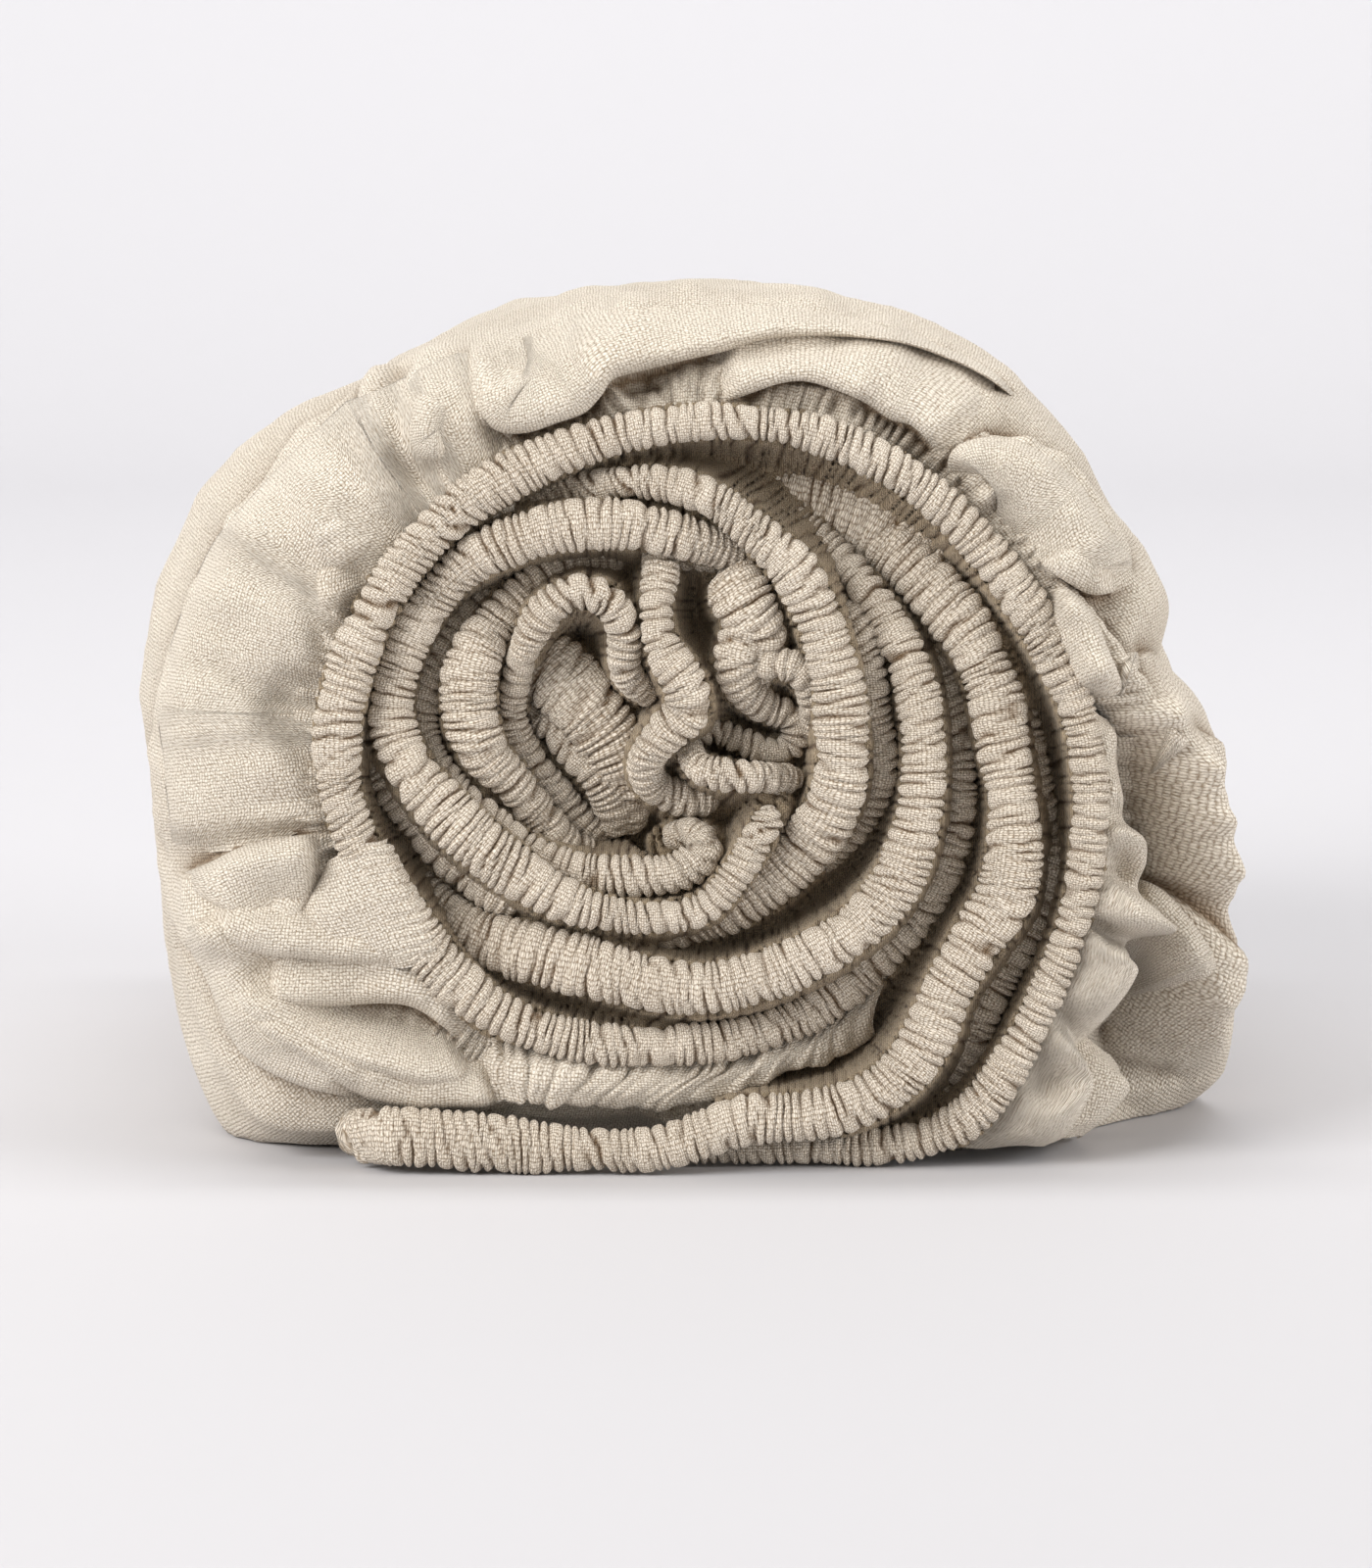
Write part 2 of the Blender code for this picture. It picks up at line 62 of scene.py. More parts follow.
def seen_at(x, z, depth):
    """The point seen at (x, z) of the picture plane that lies this deep behind the front, all in mm."""
    x, z, depth = (np.asarray(v, float) * 0.001 for v in (x, z, depth))
    on_plane = VIEW_CENTRE + x[..., None] * np.array([1, 0, 0]) + (z - READ_HEIGHT)[..., None] * VIEW_UP
    ray = on_plane - EYE
    return EYE + ray * ((FRONT + depth - EYE[1]) / ray[..., 1])[..., None]


def picture_of(points):
    """(x, z) of the picture plane, in mm, at which points are seen."""
    ray = points - EYE
    scale = EYE_DISTANCE / (ray @ VIEW_AHEAD)
    return ray[..., 0] * scale * 1000, ((ray @ VIEW_UP) * scale + READ_HEIGHT) * 1000


# The studio. A white sweep of paper runs under the roll and up behind it. A large soft box stands in front
# at the left, a weaker one at the right, one hangs over the wall, and white walls round it fill the shade.
PAPER_COLOUR = (0.61, 0.605, 0.63)
PAPER_ROUGHNESS = 0.9
ROOM_COLOUR = (1.0, 0.965, 0.91)
ROOM_LIGHT = 0.46


def grid_mesh(name, points, closed_round=False, capped=False, uv=None, keep=None, crest=None):
    """An object from a grid of points, in rows. Rows may close round, and a cap may close each end. uv holds
    a pair for each point, and the closing column's value goes on by one step instead of back to the start.
    Where keep is given, only faces whose corners are all kept are made. crest is 0 in a crease and 1 on a
    fold, and is kept with the mesh for its material, which paints shade into the cloth where crest is low."""
    rows, columns = points.shape[:2]
    mesh = bpy.data.meshes.new(name)
    last = columns if closed_round else columns - 1
    row, column = np.meshgrid(np.arange(rows - 1), np.arange(last), indexing="ij")
    following = (column + 1) % columns
    corners = [row * columns + column, row * columns + following]
    corners += [(row + 1) * columns + following, (row + 1) * columns + column]
    faces = np.stack(corners, axis=-1).reshape(-1, 4)
    kept = np.ones(len(faces), bool) if keep is None else keep.ravel()[faces].all(axis=1)
    faces = faces[kept]
    mesh.vertices.add(rows * columns)
    mesh.vertices.foreach_set("co", points.astype(np.float32).ravel())
    corners = faces.ravel()
    starts = np.arange(0, faces.size, 4)
    if capped:
        far_cap = (rows - 1) * columns + np.arange(columns)
        corners = np.concatenate([corners, np.arange(columns)[::-1], far_cap])
        starts = np.concatenate([starts, [faces.size, faces.size + columns]])
    mesh.loops.add(len(corners))
    mesh.loops.foreach_set("vertex_index", corners.astype(np.int32))
    mesh.polygons.add(len(starts))
    mesh.polygons.foreach_set("loop_start", starts.astype(np.int32))
    mesh.update(calc_edges=True)
    mesh.validate()
    if uv is not None:
        if closed_round:
            step = uv[:, 1:2] - uv[:, :1]
            uv = np.concatenate([uv, uv[:, -1:] + step], axis=1)
        wide = uv.shape[1]
        places = [row * wide + column, row * wide + column + 1]
        places += [(row + 1) * wide + column + 1, (row + 1) * wide + column]
        at = np.stack(places, axis=-1).reshape(-1, 4)[kept].ravel()
        at = np.concatenate([at, np.zeros(len(corners) - len(at), int)])
        layer = mesh.uv_layers.new(name="cloth")
        layer.data.foreach_set("uv", uv.reshape(-1, 2)[at].astype(np.float32).ravel())
    if crest is not None:
        layer = mesh.attributes.new("crest", "FLOAT", "POINT")
        layer.data.foreach_set("value", np.broadcast_to(crest, (rows, columns)).astype(np.float32).ravel())
    mesh.shade_smooth()
    obj = bpy.data.objects.new(name, mesh)
    bpy.context.scene.collection.objects.link(obj)
    return obj


def paper_sweep():
    """A strip whose section runs flat, then round a quarter turn, then straight up, in metres."""
    near, bend_from, bend, wall, half_width = -3.5, 1.6, 0.9, 3.0, 4
    flat = np.stack([np.linspace(near, bend_from, 12), np.zeros(12)], axis=1)
    turn = np.linspace(0, math.pi / 2, 25)[1:]
    curve = np.stack([bend_from + bend * np.sin(turn), bend - bend * np.cos(turn)], axis=1)
    section = np.vstack([flat, curve, [[bend_from + bend, wall]]])
    across = np.linspace(-half_width, half_width, 9)
    points = np.empty((len(section), len(across), 3))
    points[..., 0] = across
    points[..., 1:] = section[:, None]
    return grid_mesh("paper_sweep", points)


sweep = paper_sweep()
paper = bpy.data.materials.new("white_paper")
paper.use_nodes = True
paper_shader = paper.node_tree.nodes["Principled BSDF"]
paper_shader.inputs["Base Color"].default_value = (*PAPER_COLOUR, 1)
paper_shader.inputs["Roughness"].default_value = PAPER_ROUGHNESS
sweep.data.materials.append(paper)


def soft_box(name, place, aim, size, watts, colour):
    """A rectangular area light at place, turned until its face looks at aim."""
    light = bpy.data.lights.new(name, "AREA")
    light.shape = "RECTANGLE"
    light.size, light.size_y = size
    light.energy = watts
    light.color = colour
    obj = bpy.data.objects.new(name, light)
    obj.location = place
    toward = np.array(aim, float) - np.array(place, float)
    yaw = math.atan2(toward[0], -toward[1])
    tilt = math.atan2(math.hypot(toward[0], toward[1]), -toward[2])
    obj.rotation_euler = (tilt, 0, yaw + math.pi)
    bpy.context.scene.collection.objects.link(obj)


soft_box("key_soft_box", (-1.6, -1.5, 1.3), (0, 0, 0.1), (1.4, 1.4), 53, (1.0, 0.985, 0.965))
soft_box("fill_soft_box", (2.1, -0.8, 0.7), (0, 0, 0.1), (1.2, 1.2), 28, (1.0, 0.985, 0.97))
soft_box("wall_soft_box", (0, 0.2, 2.6), (0, 2.6, 1.0), (3.0, 0.8), 70, (0.985, 0.99, 0.995))
world = bpy.data.worlds.new("white_room")
world.use_nodes = True
world.node_tree.nodes["Background"].inputs["Color"].default_value = (*ROOM_COLOUR, 1)
world.node_tree.nodes["Background"].inputs["Strength"].default_value = ROOM_LIGHT
bpy.context.scene.world = world
bpy.context.scene.view_settings.view_transform = "Standard"

# The hem's casing. The linen is turned over a narrow elastic and stitched, and the elastic draws it into
# fine gathers, each about 3 mm. Rolled up, it lies in turns on the front end. Each row is a place on the
# middle line of a band as seen from the front, with its depth behind the front and its width, in mm.
CASING_THICKNESS = 7.6
GATHER_PITCH = 2.75
CASING_STEP = 0.32
CASING_SIDES = 26
BANDS = {
    "casing_outer_turn": (
        (-8, 5.2, 13, 8), (8, 5.0, 13, 8), (24, 5.3, 13, 8), (40, 6.0, 12.5, 9), (55, 8.7, 11, 10),
        (66, 14, 8, 11), (74, 23, 6, 10.5), (80, 34, 6, 9), (86, 46, 6, 9), (91, 60, 6, 9), (94, 74, 6, 9),
        (95, 88, 6, 9), (94, 101, 7, 9.5), (90.5, 113, 8, 9.5), (85, 125, 8, 10.5), (78, 136.5, 8, 11),
        (69.5, 148, 8, 11), (59, 158.5, 8, 10), (47, 167, 8, 10.5), (33, 173.5, 8, 10), (18, 176.5, 8, 9),
        (2, 177, 8, 9), (-14, 174.5, 8, 10), (-29, 170, 7, 11), (-43, 163.5, 6, 11.5), (-55, 155, 5, 11.5),
        (-65, 145, 4, 11), (-73, 133, 2, 11), (-78.5, 120, 1, 11.5), (-81.5, 107, 1, 12),
        (-81.5, 94, 1, 11), (-78.5, 82, 1, 11), (-73, 71, 1, 12.5), (-66, 60, 1, 14), (-57.5, 49, 2, 13),
        (-46.5, 39.5, 3, 11.5), (-34, 34, 4, 10.5), (-20, 31, 5, 10), (-5, 30.5, 8, 10), (10, 32, 11, 10),
        (24, 36, 14, 10), (37, 43.5, 16, 10.5), (48, 53.5, 17, 10), (57, 64.5, 18, 9), (62.5, 77, 19, 8.5),
        (64.5, 90, 20, 8), (64, 103, 22, 8), (61, 115, 25, 8), (56, 125, 29, 7),
    ),
    "casing_lead_turn": (
        (-74.5, 9.8, 19, 14), (-76, 9.5, 11, 15), (-70, 9.5, 4, 15), (-58, 8.8, 3, 14.5), (-45, 7.6, 3, 14),
        (-31, 6.4, 3, 12), (-17, 5.8, 3, 10.5), (-7, 6.5, 2, 11), (3, 9.2, 2, 12.5), (15, 13, 2, 13),
        (28, 14, 2, 13), (40, 17.2, 2, 12.5), (50, 23.5, 2, 13), (57, 33, 3, 13.5), (61.5, 44, 4, 12.5),
        (68, 55, 5, 14), (74.5, 65, 6, 15), (77, 77, 7, 13.5), (76.5, 90, 9, 12), (74, 103, 11, 13),
        (72, 115, 13, 14), (66.5, 127, 16, 14), (58.5, 137, 20, 14), (49.5, 146, 25, 14),
        (39, 153.5, 31, 14), (27, 159.5, 37, 13), (13, 163, 41, 12), (-2, 165, 43, 12),
    ),
    "casing_third_turn": (
        (-66, 70, 26, 12), (-57, 61.5, 18, 12), (-47, 55.5, 12, 13), (-35, 52, 8, 15), (-22, 48.8, 5, 14.5),
        (-9, 45.3, 3, 14), (4, 43.8, 2, 13.5), (17, 46.5, 2, 13), (30, 52, 2, 12.5), (41.5, 59.5, 3, 12.5),
        (50, 70, 4, 12.5), (54.5, 83, 5, 11.5), (55.8, 96, 7, 11), (55, 109, 9, 11), (51.5, 122, 12, 10.5),
        (45, 134, 16, 9.5), (37, 144.5, 21, 8), (28, 152.5, 25, 7), (18, 158, 28, 7), (7, 161, 31, 7),
    ),
    "casing_fourth_turn": (
        (-60, 139, 33, 8), (-50, 150, 27, 8), (-38, 157, 21, 8), (-26, 161, 15, 8.5), (-14, 163, 10, 8.5),
        (-2, 162, 8, 9), (8, 157.5, 6, 9.5), (17, 150.5, 5, 10.5), (25, 142.5, 4, 12), (30.5, 132, 4, 12.5),
        (34.5, 120, 4, 12.5), (36.5, 107, 4, 13), (36.5, 94, 5, 13.5), (33.5, 85, 8, 14), (28, 77, 12, 14),
        (20, 69, 13, 13.5), (10, 62.5, 14, 12), (0, 58.5, 17, 10), (-12, 55.5, 21, 8),
    ),
    "casing_fifth_turn": (
        (24, 137, 21, 8), (14, 144, 15, 9), (3, 149, 9, 10.5), (-9, 152, 6, 11.5), (-22, 153, 5, 12),
        (-35, 151, 5, 12), (-46.5, 146.5, 7, 11.5), (-56, 139.5, 9, 10.5), (-63, 130, 9, 10.5),
        (-67.5, 119, 8, 10.5), (-69, 108, 7, 11), (-66, 98, 5, 12), (-60, 89.5, 4, 13),
        (-51.5, 80.5, 3, 13.5), (-41.5, 72.5, 3, 13), (-30.5, 65.5, 3, 11.5), (-18, 61.5, 3, 9.5),
        (-5, 60.8, 3, 8.5), (5, 63.5, 3, 8.5), (12, 71.5, 4, 8.5), (17.5, 80, 5, 8.5), (20.5, 87, 6, 8.5),
    ),
    "casing_sixth_turn": (
        (-40, 141, 27, 8), (-49, 134, 23, 8), (-56, 125, 19, 8), (-60.5, 114, 17, 8), (-61.5, 104, 15, 8),
        (-58, 96.5, 13, 8), (-51, 88.5, 12, 8), (-43.5, 81.5, 12, 8), (-35, 75.5, 11, 8.5),
        (-24.5, 71.5, 10, 9.5), (-12, 70.5, 9, 10), (-2, 71.5, 9, 10), (4.5, 76, 11, 9), (1.5, 80.8, 17, 8),
        (-5, 78.5, 24, 8),
    ),
    "casing_seventh_turn": (
        (-14, 145, 24, 8), (-26, 144, 21, 9), (-36, 139, 18, 9.5), (-44, 131, 15, 11),
        (-49.8, 121, 10, 12.8), (-51, 110, 9, 14), (-48, 100, 10, 12.5), (-41, 92.8, 14, 11),
        (-35, 85.5, 19, 10), (-29, 79, 22, 9), (-21, 74.5, 26, 8),
    ),
    "casing_inner_loop": (
        (-19, 78.5, 30, 8), (-25.5, 84.5, 27, 8), (-31.5, 91.5, 24, 8), (-37, 99, 21, 8),
        (-40.5, 107, 18, 7.5), (-39.8, 117, 15, 7.5), (-37, 126, 9, 8.5), (-33, 133, 6, 9),
        (-25.5, 137, 5, 9), (-18.5, 135, 5, 9), (-14.5, 128, 7, 8), (-14.5, 120, 10, 8),
        (-11.5, 115, 14, 7.5), (-7, 112.5, 20, 7),
    ),
    "casing_middle_drop": (
        (-6, 150, 17, 8), (-6, 142, 10, 8.5), (-7, 133, 6, 8.5), (-5.5, 124, 4, 9.5), (-0.5, 116, 3, 11.5),
        (0.5, 109.5, 4, 11.5), (-5, 104, 6, 10), (-9.5, 98, 9, 9), (-8, 92, 15, 9), (-1, 88.8, 19, 9),
        (8, 88.5, 23, 8.5),
    ),
    "casing_centre_fold": (
        (27, 93, 18, 7), (18, 93.5, 8, 8), (9, 94, 6, 8), (2.5, 96.3, 8, 7.5), (1, 101.5, 15.5, 6.5),
        (6, 104.5, 18, 7), (12, 102.5, 18, 7), (19, 100, 18, 7), (25, 101.5, 19, 7.5), (25, 107.5, 18, 8),
        (18.5, 110.5, 16, 9), (13.5, 114.5, 12, 10), (12, 121, 9, 11.5), (13.5, 127, 9, 12),
        (15, 132, 11, 12),
    ),
    "casing_core_fold": (
        (-38, 124, 27, 12), (-32, 119.5, 22, 17), (-26, 113, 20, 19), (-20, 105.5, 20, 17),
        (-15.5, 97, 22, 14), (-13.5, 89, 26, 12), (-15, 81, 33, 10),
    ),
}


def noise(x, y, z, seed):
    """Smooth noise from about -1 to 1. Each whole-number corner has a slope in a direction of its own, and
    their planes are blended by 6t^5 - 15t^4 + 10t^3 along each axis."""
    x, y, z = np.broadcast_arrays(*(np.asarray(v, float) for v in (x, y, z)))
    cell = [np.floor(v) for v in (x, y, z)]
    part = [v - c for v, c in zip((x, y, z), cell)]
    ease = [t * t * t * (t * (6 * t - 15) + 10) for t in part]
    total = np.zeros(x.shape)
    for corner in np.ndindex(2, 2, 2):
        at = [c + k for c, k in zip(cell, corner)]
        mix = np.sin(at[0] * 127.1 + at[1] * 311.7 + at[2] * 74.7 + seed * 53.3) * 43758.5453
        turn = (mix - np.floor(mix)) * 2 * math.pi
        lift = np.sin(at[0] * 269.5 + at[1] * 183.3 + at[2] * 246.1 + seed * 17.9) * 24634.6345
        lift = 2 * (lift - np.floor(lift)) - 1
        flat = np.sqrt(1 - lift * lift)
        away = [t - k for t, k in zip(part, corner)]
        slope = away[0] * flat * np.cos(turn) + away[1] * flat * np.sin(turn) + away[2] * lift
        weight = np.ones(x.shape)
        for e, k in zip(ease, corner):
            weight = weight * (e if k else 1 - e)
        total += weight * slope
    return total * 1.6


def smooth_line(rows, step):
    """Catmull-Rom curve through rows of (point, width), read evenly at about this step of its length."""
    padded = np.vstack([2 * rows[0] - rows[1], rows, 2 * rows[-1] - rows[-2]])
    a, b, c, d = (padded[k:len(padded) - 3 + k, None] for k in range(4))
    t = np.linspace(0, 1, 64, endpoint=False)[None, :, None]
    cubic = 2 * b + (c - a) * t + (2 * a - 5 * b + 4 * c - d) * t**2 + (3 * b - a - 3 * c + d) * t**3
    fine = np.vstack([(cubic / 2).reshape(-1, rows.shape[1]), rows[-1:]])
    along = np.concatenate([[0], np.cumsum(np.linalg.norm(np.diff(fine[:, :3], axis=0), axis=1))])
    at = np.linspace(0, along[-1], max(4, round(along[-1] / step) + 1))
    return np.stack([np.interp(at, along, fine[:, k]) for k in range(fine.shape[1])], axis=1), at


def band_line(rows, step):
    """A band's middle line in mm, as (x, y, z, width), with its length so far."""
    rows = np.array(rows, float)
    places = seen_at(rows[:, 0], rows[:, 1], rows[:, 2]) * 1000
    line, along = smooth_line(np.column_stack([places, rows[:, 3]]), step)
    line[:, 2] = np.maximum(line[:, 2], line[:, 3] / 2 + 0.5)
    return line, along


def directions(line):
    """Unit directions across the band, in the plane of the front end, and through it, backwards."""
    tangent = np.gradient(line[:, :3], axis=0)
    tangent /= np.linalg.norm(tangent, axis=1)[:, None]
    across = np.cross(tangent, (0, 1, 0))
    across /= np.linalg.norm(across, axis=1)[:, None]
    return across, np.cross(across, tangent)


def gather_height(along, across, width, seed, pitch=GATHER_PITCH):
    """Height of the gathers from 0 in a crease to about 1 on a crest, as |sin| of half a phase, which gives
    plump pleats between narrow creases. The phase grows by a turn each pitch and drifts in pitch and slant
    along the band. Each edge of the band has gathers of its own, which meet and part over its middle."""
    shared = along / pitch + 1.5 * noise(along / 19, 0, 0.5, seed)
    shared = shared + (0.12 + 0.45 * noise(along / 23, 7.7, 0.5, seed)) * across / pitch
    shared = shared + 0.22 * noise(along / 4.2, across / 3.6, 0.5, seed + 1)
    meet = np.clip(0.5 + 1.5 * across / width + 0.5 * noise(along / 4, 2.2, 0.5, seed + 7), 0, 1)
    meet = meet * meet * (3 - 2 * meet)
    crest = np.zeros(np.broadcast(along, across).shape)
    for share, edge in ((1 - meet, 11), (meet, 12)):
        phase = shared + 0.75 * noise(along / 4.3, 3.1, 0.5, seed + edge)
        crest = crest + share * np.abs(np.sin(math.pi * phase)) ** 0.66
    strength = np.clip(1.0 + 0.6 * noise(along / 3.4, across / 12, 2.5, seed + 2), 0.60, 1.35)
    strength = strength + 0.16 * noise(along / 1.1, across / 5, 3.5, seed + 8)
    return 1 - strength * (1.04 - crest)


def casing_band(name, rows, seed, smooth_at=None):
    """A flat rounded tube along the band's line: its section is a fat ellipse, pushed in by the gathers and
    swollen and pinched by slow noise. It has more points on its near side, which shows. The gathers fade out
    round smooth_at, an (x, z, radius) of the picture plane."""
    line, along = band_line(rows, CASING_STEP)
    across, through = directions(line)
    turn = (np.arange(CASING_SIDES) + 0.5) / CASING_SIDES
    angle = 2 * math.pi * (turn - 0.095 * np.sin(2 * math.pi * turn)) + math.pi / 2
    width = line[:, 3] * (1 + 0.10 * noise(along / 11, 5.5, 0.5, seed + 3))
    thick = np.minimum(CASING_THICKNESS, width * 0.85)
    side = np.sign(np.cos(angle)) * np.abs(np.cos(angle)) ** 0.86
    front = np.sin(angle)
    v = side[None] * width[:, None] / 2
    pitch = GATHER_PITCH * max(1, line[:, 3].mean() / 12.5)
    height = gather_height(along[:, None], v, width[:, None], seed, pitch)
    if smooth_at is not None:
        flat = line[:, None, :3] + v[..., None] * across[:, None]
        x, z = picture_of(flat * 0.001)
        fade = np.exp(-(((x - smooth_at[0]) ** 2 + (z - smooth_at[1]) ** 2) / smooth_at[2] ** 2) ** 2)
        height = height + (0.95 - height) * fade
    end = np.minimum(along, along[-1] - along)
    taper = np.sqrt(np.clip(end / 3.5, 0.0004, 1))[:, None]
    lumps = 0.55 * noise(along[:, None] / 9, v / 6, 4.5, seed + 4)
    lumps = lumps + 0.22 * noise(along[:, None] / 2.2, v / 2.4, 6.5, seed)
    out = side[None] * (width[:, None] / 2 + lumps - 1.35 * (1 - height)) * taper
    back = front[None] * (thick[:, None] / 2 + lumps - 1.7 * (1 - height)) * taper
    points = line[:, None, :3] + out[..., None] * across[:, None] + back[..., None] * through[:, None]
    points[..., 2] = np.maximum(points[..., 2], 0.2)
    uv = np.empty((len(line), CASING_SIDES, 2))
    uv[..., 0] = angle[None] * 0.0046
    uv[..., 1] = along[:, None] * 0.0014
    # The gathers' height goes to the material as crest, which paints shade into each crease of the gathers.
    return grid_mesh("gathered_" + name, points * 0.001, closed_round=True, capped=True, uv=uv, crest=height)


# The crest at and above which no shade is painted into the linen.
FULL_CREST = 0.62


def linen_weave(name, dark, light, thread_mm):
    """Washed linen in plain weave, as |sin * sin| of warp and weft with a little of their sign, so that they
    show by turns, over and under. Noise gives thick and thin threads and paler slubs. Shade is painted into
    the colour where its crest attribute falls below FULL_CREST, for the shade in creases and hollows, and
    the cloth has a faint bloom."""
    material = bpy.data.materials.new(name)
    material.use_nodes = True
    tree = material.node_tree
    shader = tree.nodes["Principled BSDF"]

    def node(kind, **values):
        """A new node of this kind with these settings."""
        made = tree.nodes.new(kind)
        for key, value in values.items():
            setattr(made, key, value)
        return made

    def maths(operation, a, b=None, c=None):
        """Output of a Math node whose inputs are numbers or other nodes' outputs."""
        made = node("ShaderNodeMath", operation=operation)
        for socket, value in zip(made.inputs, (a, b, c)):
            if value is None:
                continue
            if isinstance(value, (int, float)):
                socket.default_value = value
            else:
                tree.links.new(value, socket)
        return made.outputs[0]

    uv = node("ShaderNodeUVMap")
    uv.uv_map = "cloth"
    wobble = node("ShaderNodeTexNoise")
    wobble.inputs["Scale"].default_value = 430
    wobble.inputs["Detail"].default_value = 2
    tree.links.new(uv.outputs[0], wobble.inputs["Vector"])
    centred = node("ShaderNodeVectorMath", operation="SUBTRACT")
    tree.links.new(wobble.outputs["Color"], centred.inputs[0])
    centred.inputs[1].default_value = (0.5, 0.5, 0.5)
    moved = node("ShaderNodeVectorMath", operation="MULTIPLY_ADD")
    tree.links.new(centred.outputs[0], moved.inputs[0])
    moved.inputs[1].default_value = (0.0010, 0.0010, 0)
    tree.links.new(uv.outputs[0], moved.inputs[2])
    split = node("ShaderNodeSeparateXYZ")
    tree.links.new(moved.outputs[0], split.inputs[0])
    per_metre = math.pi / (thread_mm * 0.001)
    warp = maths("SINE", maths("MULTIPLY", split.outputs[0], per_metre))
    weft = maths("SINE", maths("MULTIPLY", split.outputs[1], per_metre))
    over = maths("MULTIPLY", warp, weft)
    knot = maths("POWER", maths("ABSOLUTE", over), 0.8)
    signed = maths("MULTIPLY", maths("SIGN", over), 0.12)
    thread = maths("ADD", knot, signed)

    slub = node("ShaderNodeTexNoise")
    slub.inputs["Scale"].default_value = 1400
    slub.inputs["Detail"].default_value = 3
    slub.inputs["Roughness"].default_value = 0.7
    tree.links.new(uv.outputs[0], slub.inputs["Vector"])
    cloudy = node("ShaderNodeTexNoise")
    cloudy.inputs["Scale"].default_value = 38
    cloudy.inputs["Detail"].default_value = 4
    tree.links.new(uv.outputs[0], cloudy.inputs["Vector"])
    shade = maths("MULTIPLY_ADD", thread, 0.58, maths("MULTIPLY", slub.outputs["Fac"], 2.0))
    shade = maths("MULTIPLY_ADD", cloudy.outputs["Fac"], 0.30, maths("SUBTRACT", shade, 0.86))
    ramp = node("ShaderNodeValToRGB")
    ramp.color_ramp.elements[0].position = 0.12
    ramp.color_ramp.elements[0].color = (*dark, 1)
    ramp.color_ramp.elements[1].position = 0.86
    ramp.color_ramp.elements[1].color = (*light, 1)
    tree.links.new(shade, ramp.inputs["Fac"])
    # Painted shade: where crest falls below FULL_CREST the colour is multiplied towards a dark warm brown,
    # for the shade in creases, gathers, hollows and under the folds' lips.
    crest = node("ShaderNodeAttribute")
    crest.attribute_name = "crest"
    painted_crease_shade = node("ShaderNodeMapRange")
    painted_crease_shade.inputs["From Min"].default_value = 0.0
    painted_crease_shade.inputs["From Max"].default_value = FULL_CREST
    tree.links.new(crest.outputs["Fac"], painted_crease_shade.inputs["Value"])
    deep = node("ShaderNodeMix", data_type="RGBA", blend_type="MULTIPLY")
    deep.inputs["Factor"].default_value = 1.0
    tint = node("ShaderNodeValToRGB")
    tint.color_ramp.elements[0].color = (0.32, 0.24, 0.165, 1)
    tint.color_ramp.elements[1].color = (1, 1, 1, 1)
    tree.links.new(painted_crease_shade.outputs["Result"], tint.inputs["Fac"])
    tree.links.new(ramp.outputs["Color"], deep.inputs["A"])
    tree.links.new(tint.outputs["Color"], deep.inputs["B"])
    tree.links.new(deep.outputs["Result"], shader.inputs["Base Color"])

    height = maths("MULTIPLY_ADD", slub.outputs["Fac"], 1.5, maths("MULTIPLY", thread, 0.75))
    bump = node("ShaderNodeBump")
    bump.inputs["Strength"].default_value = 0.9
    bump.inputs["Distance"].default_value = 0.00042
    tree.links.new(height, bump.inputs["Height"])
    soft = node("ShaderNodeTexNoise")
    soft.inputs["Scale"].default_value = 170
    soft.inputs["Detail"].default_value = 3
    tree.links.new(uv.outputs[0], soft.inputs["Vector"])
    crumple = node("ShaderNodeBump")
    crumple.inputs["Strength"].default_value = 0.35
    crumple.inputs["Distance"].default_value = 0.0012
    tree.links.new(soft.outputs["Fac"], crumple.inputs["Height"])
    tree.links.new(crumple.outputs["Normal"], bump.inputs["Normal"])
    tree.links.new(bump.outputs["Normal"], shader.inputs["Normal"])
    shader.inputs["Roughness"].default_value = 0.92
    shader.inputs["Specular IOR Level"].default_value = 0.18
    shader.inputs["Sheen Weight"].default_value = 0.25
    shader.inputs["Sheen Roughness"].default_value = 0.45
    shader.inputs["Sheen Tint"].default_value = (1.0, 0.95, 0.88, 1)
    return material


casing_linen = linen_weave("gathered_linen", (0.31, 0.225, 0.14), (1.0, 0.91, 0.785), 0.76)
for seed, (node, rows) in enumerate(BANDS.items()):
    band = casing_band(node[7:], rows, 10 * seed + 1, (-77, 64, 12) if node == "casing_outer_turn" else None)
    band.data.materials.append(casing_linen)
    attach(band, "root")
    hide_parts(node)

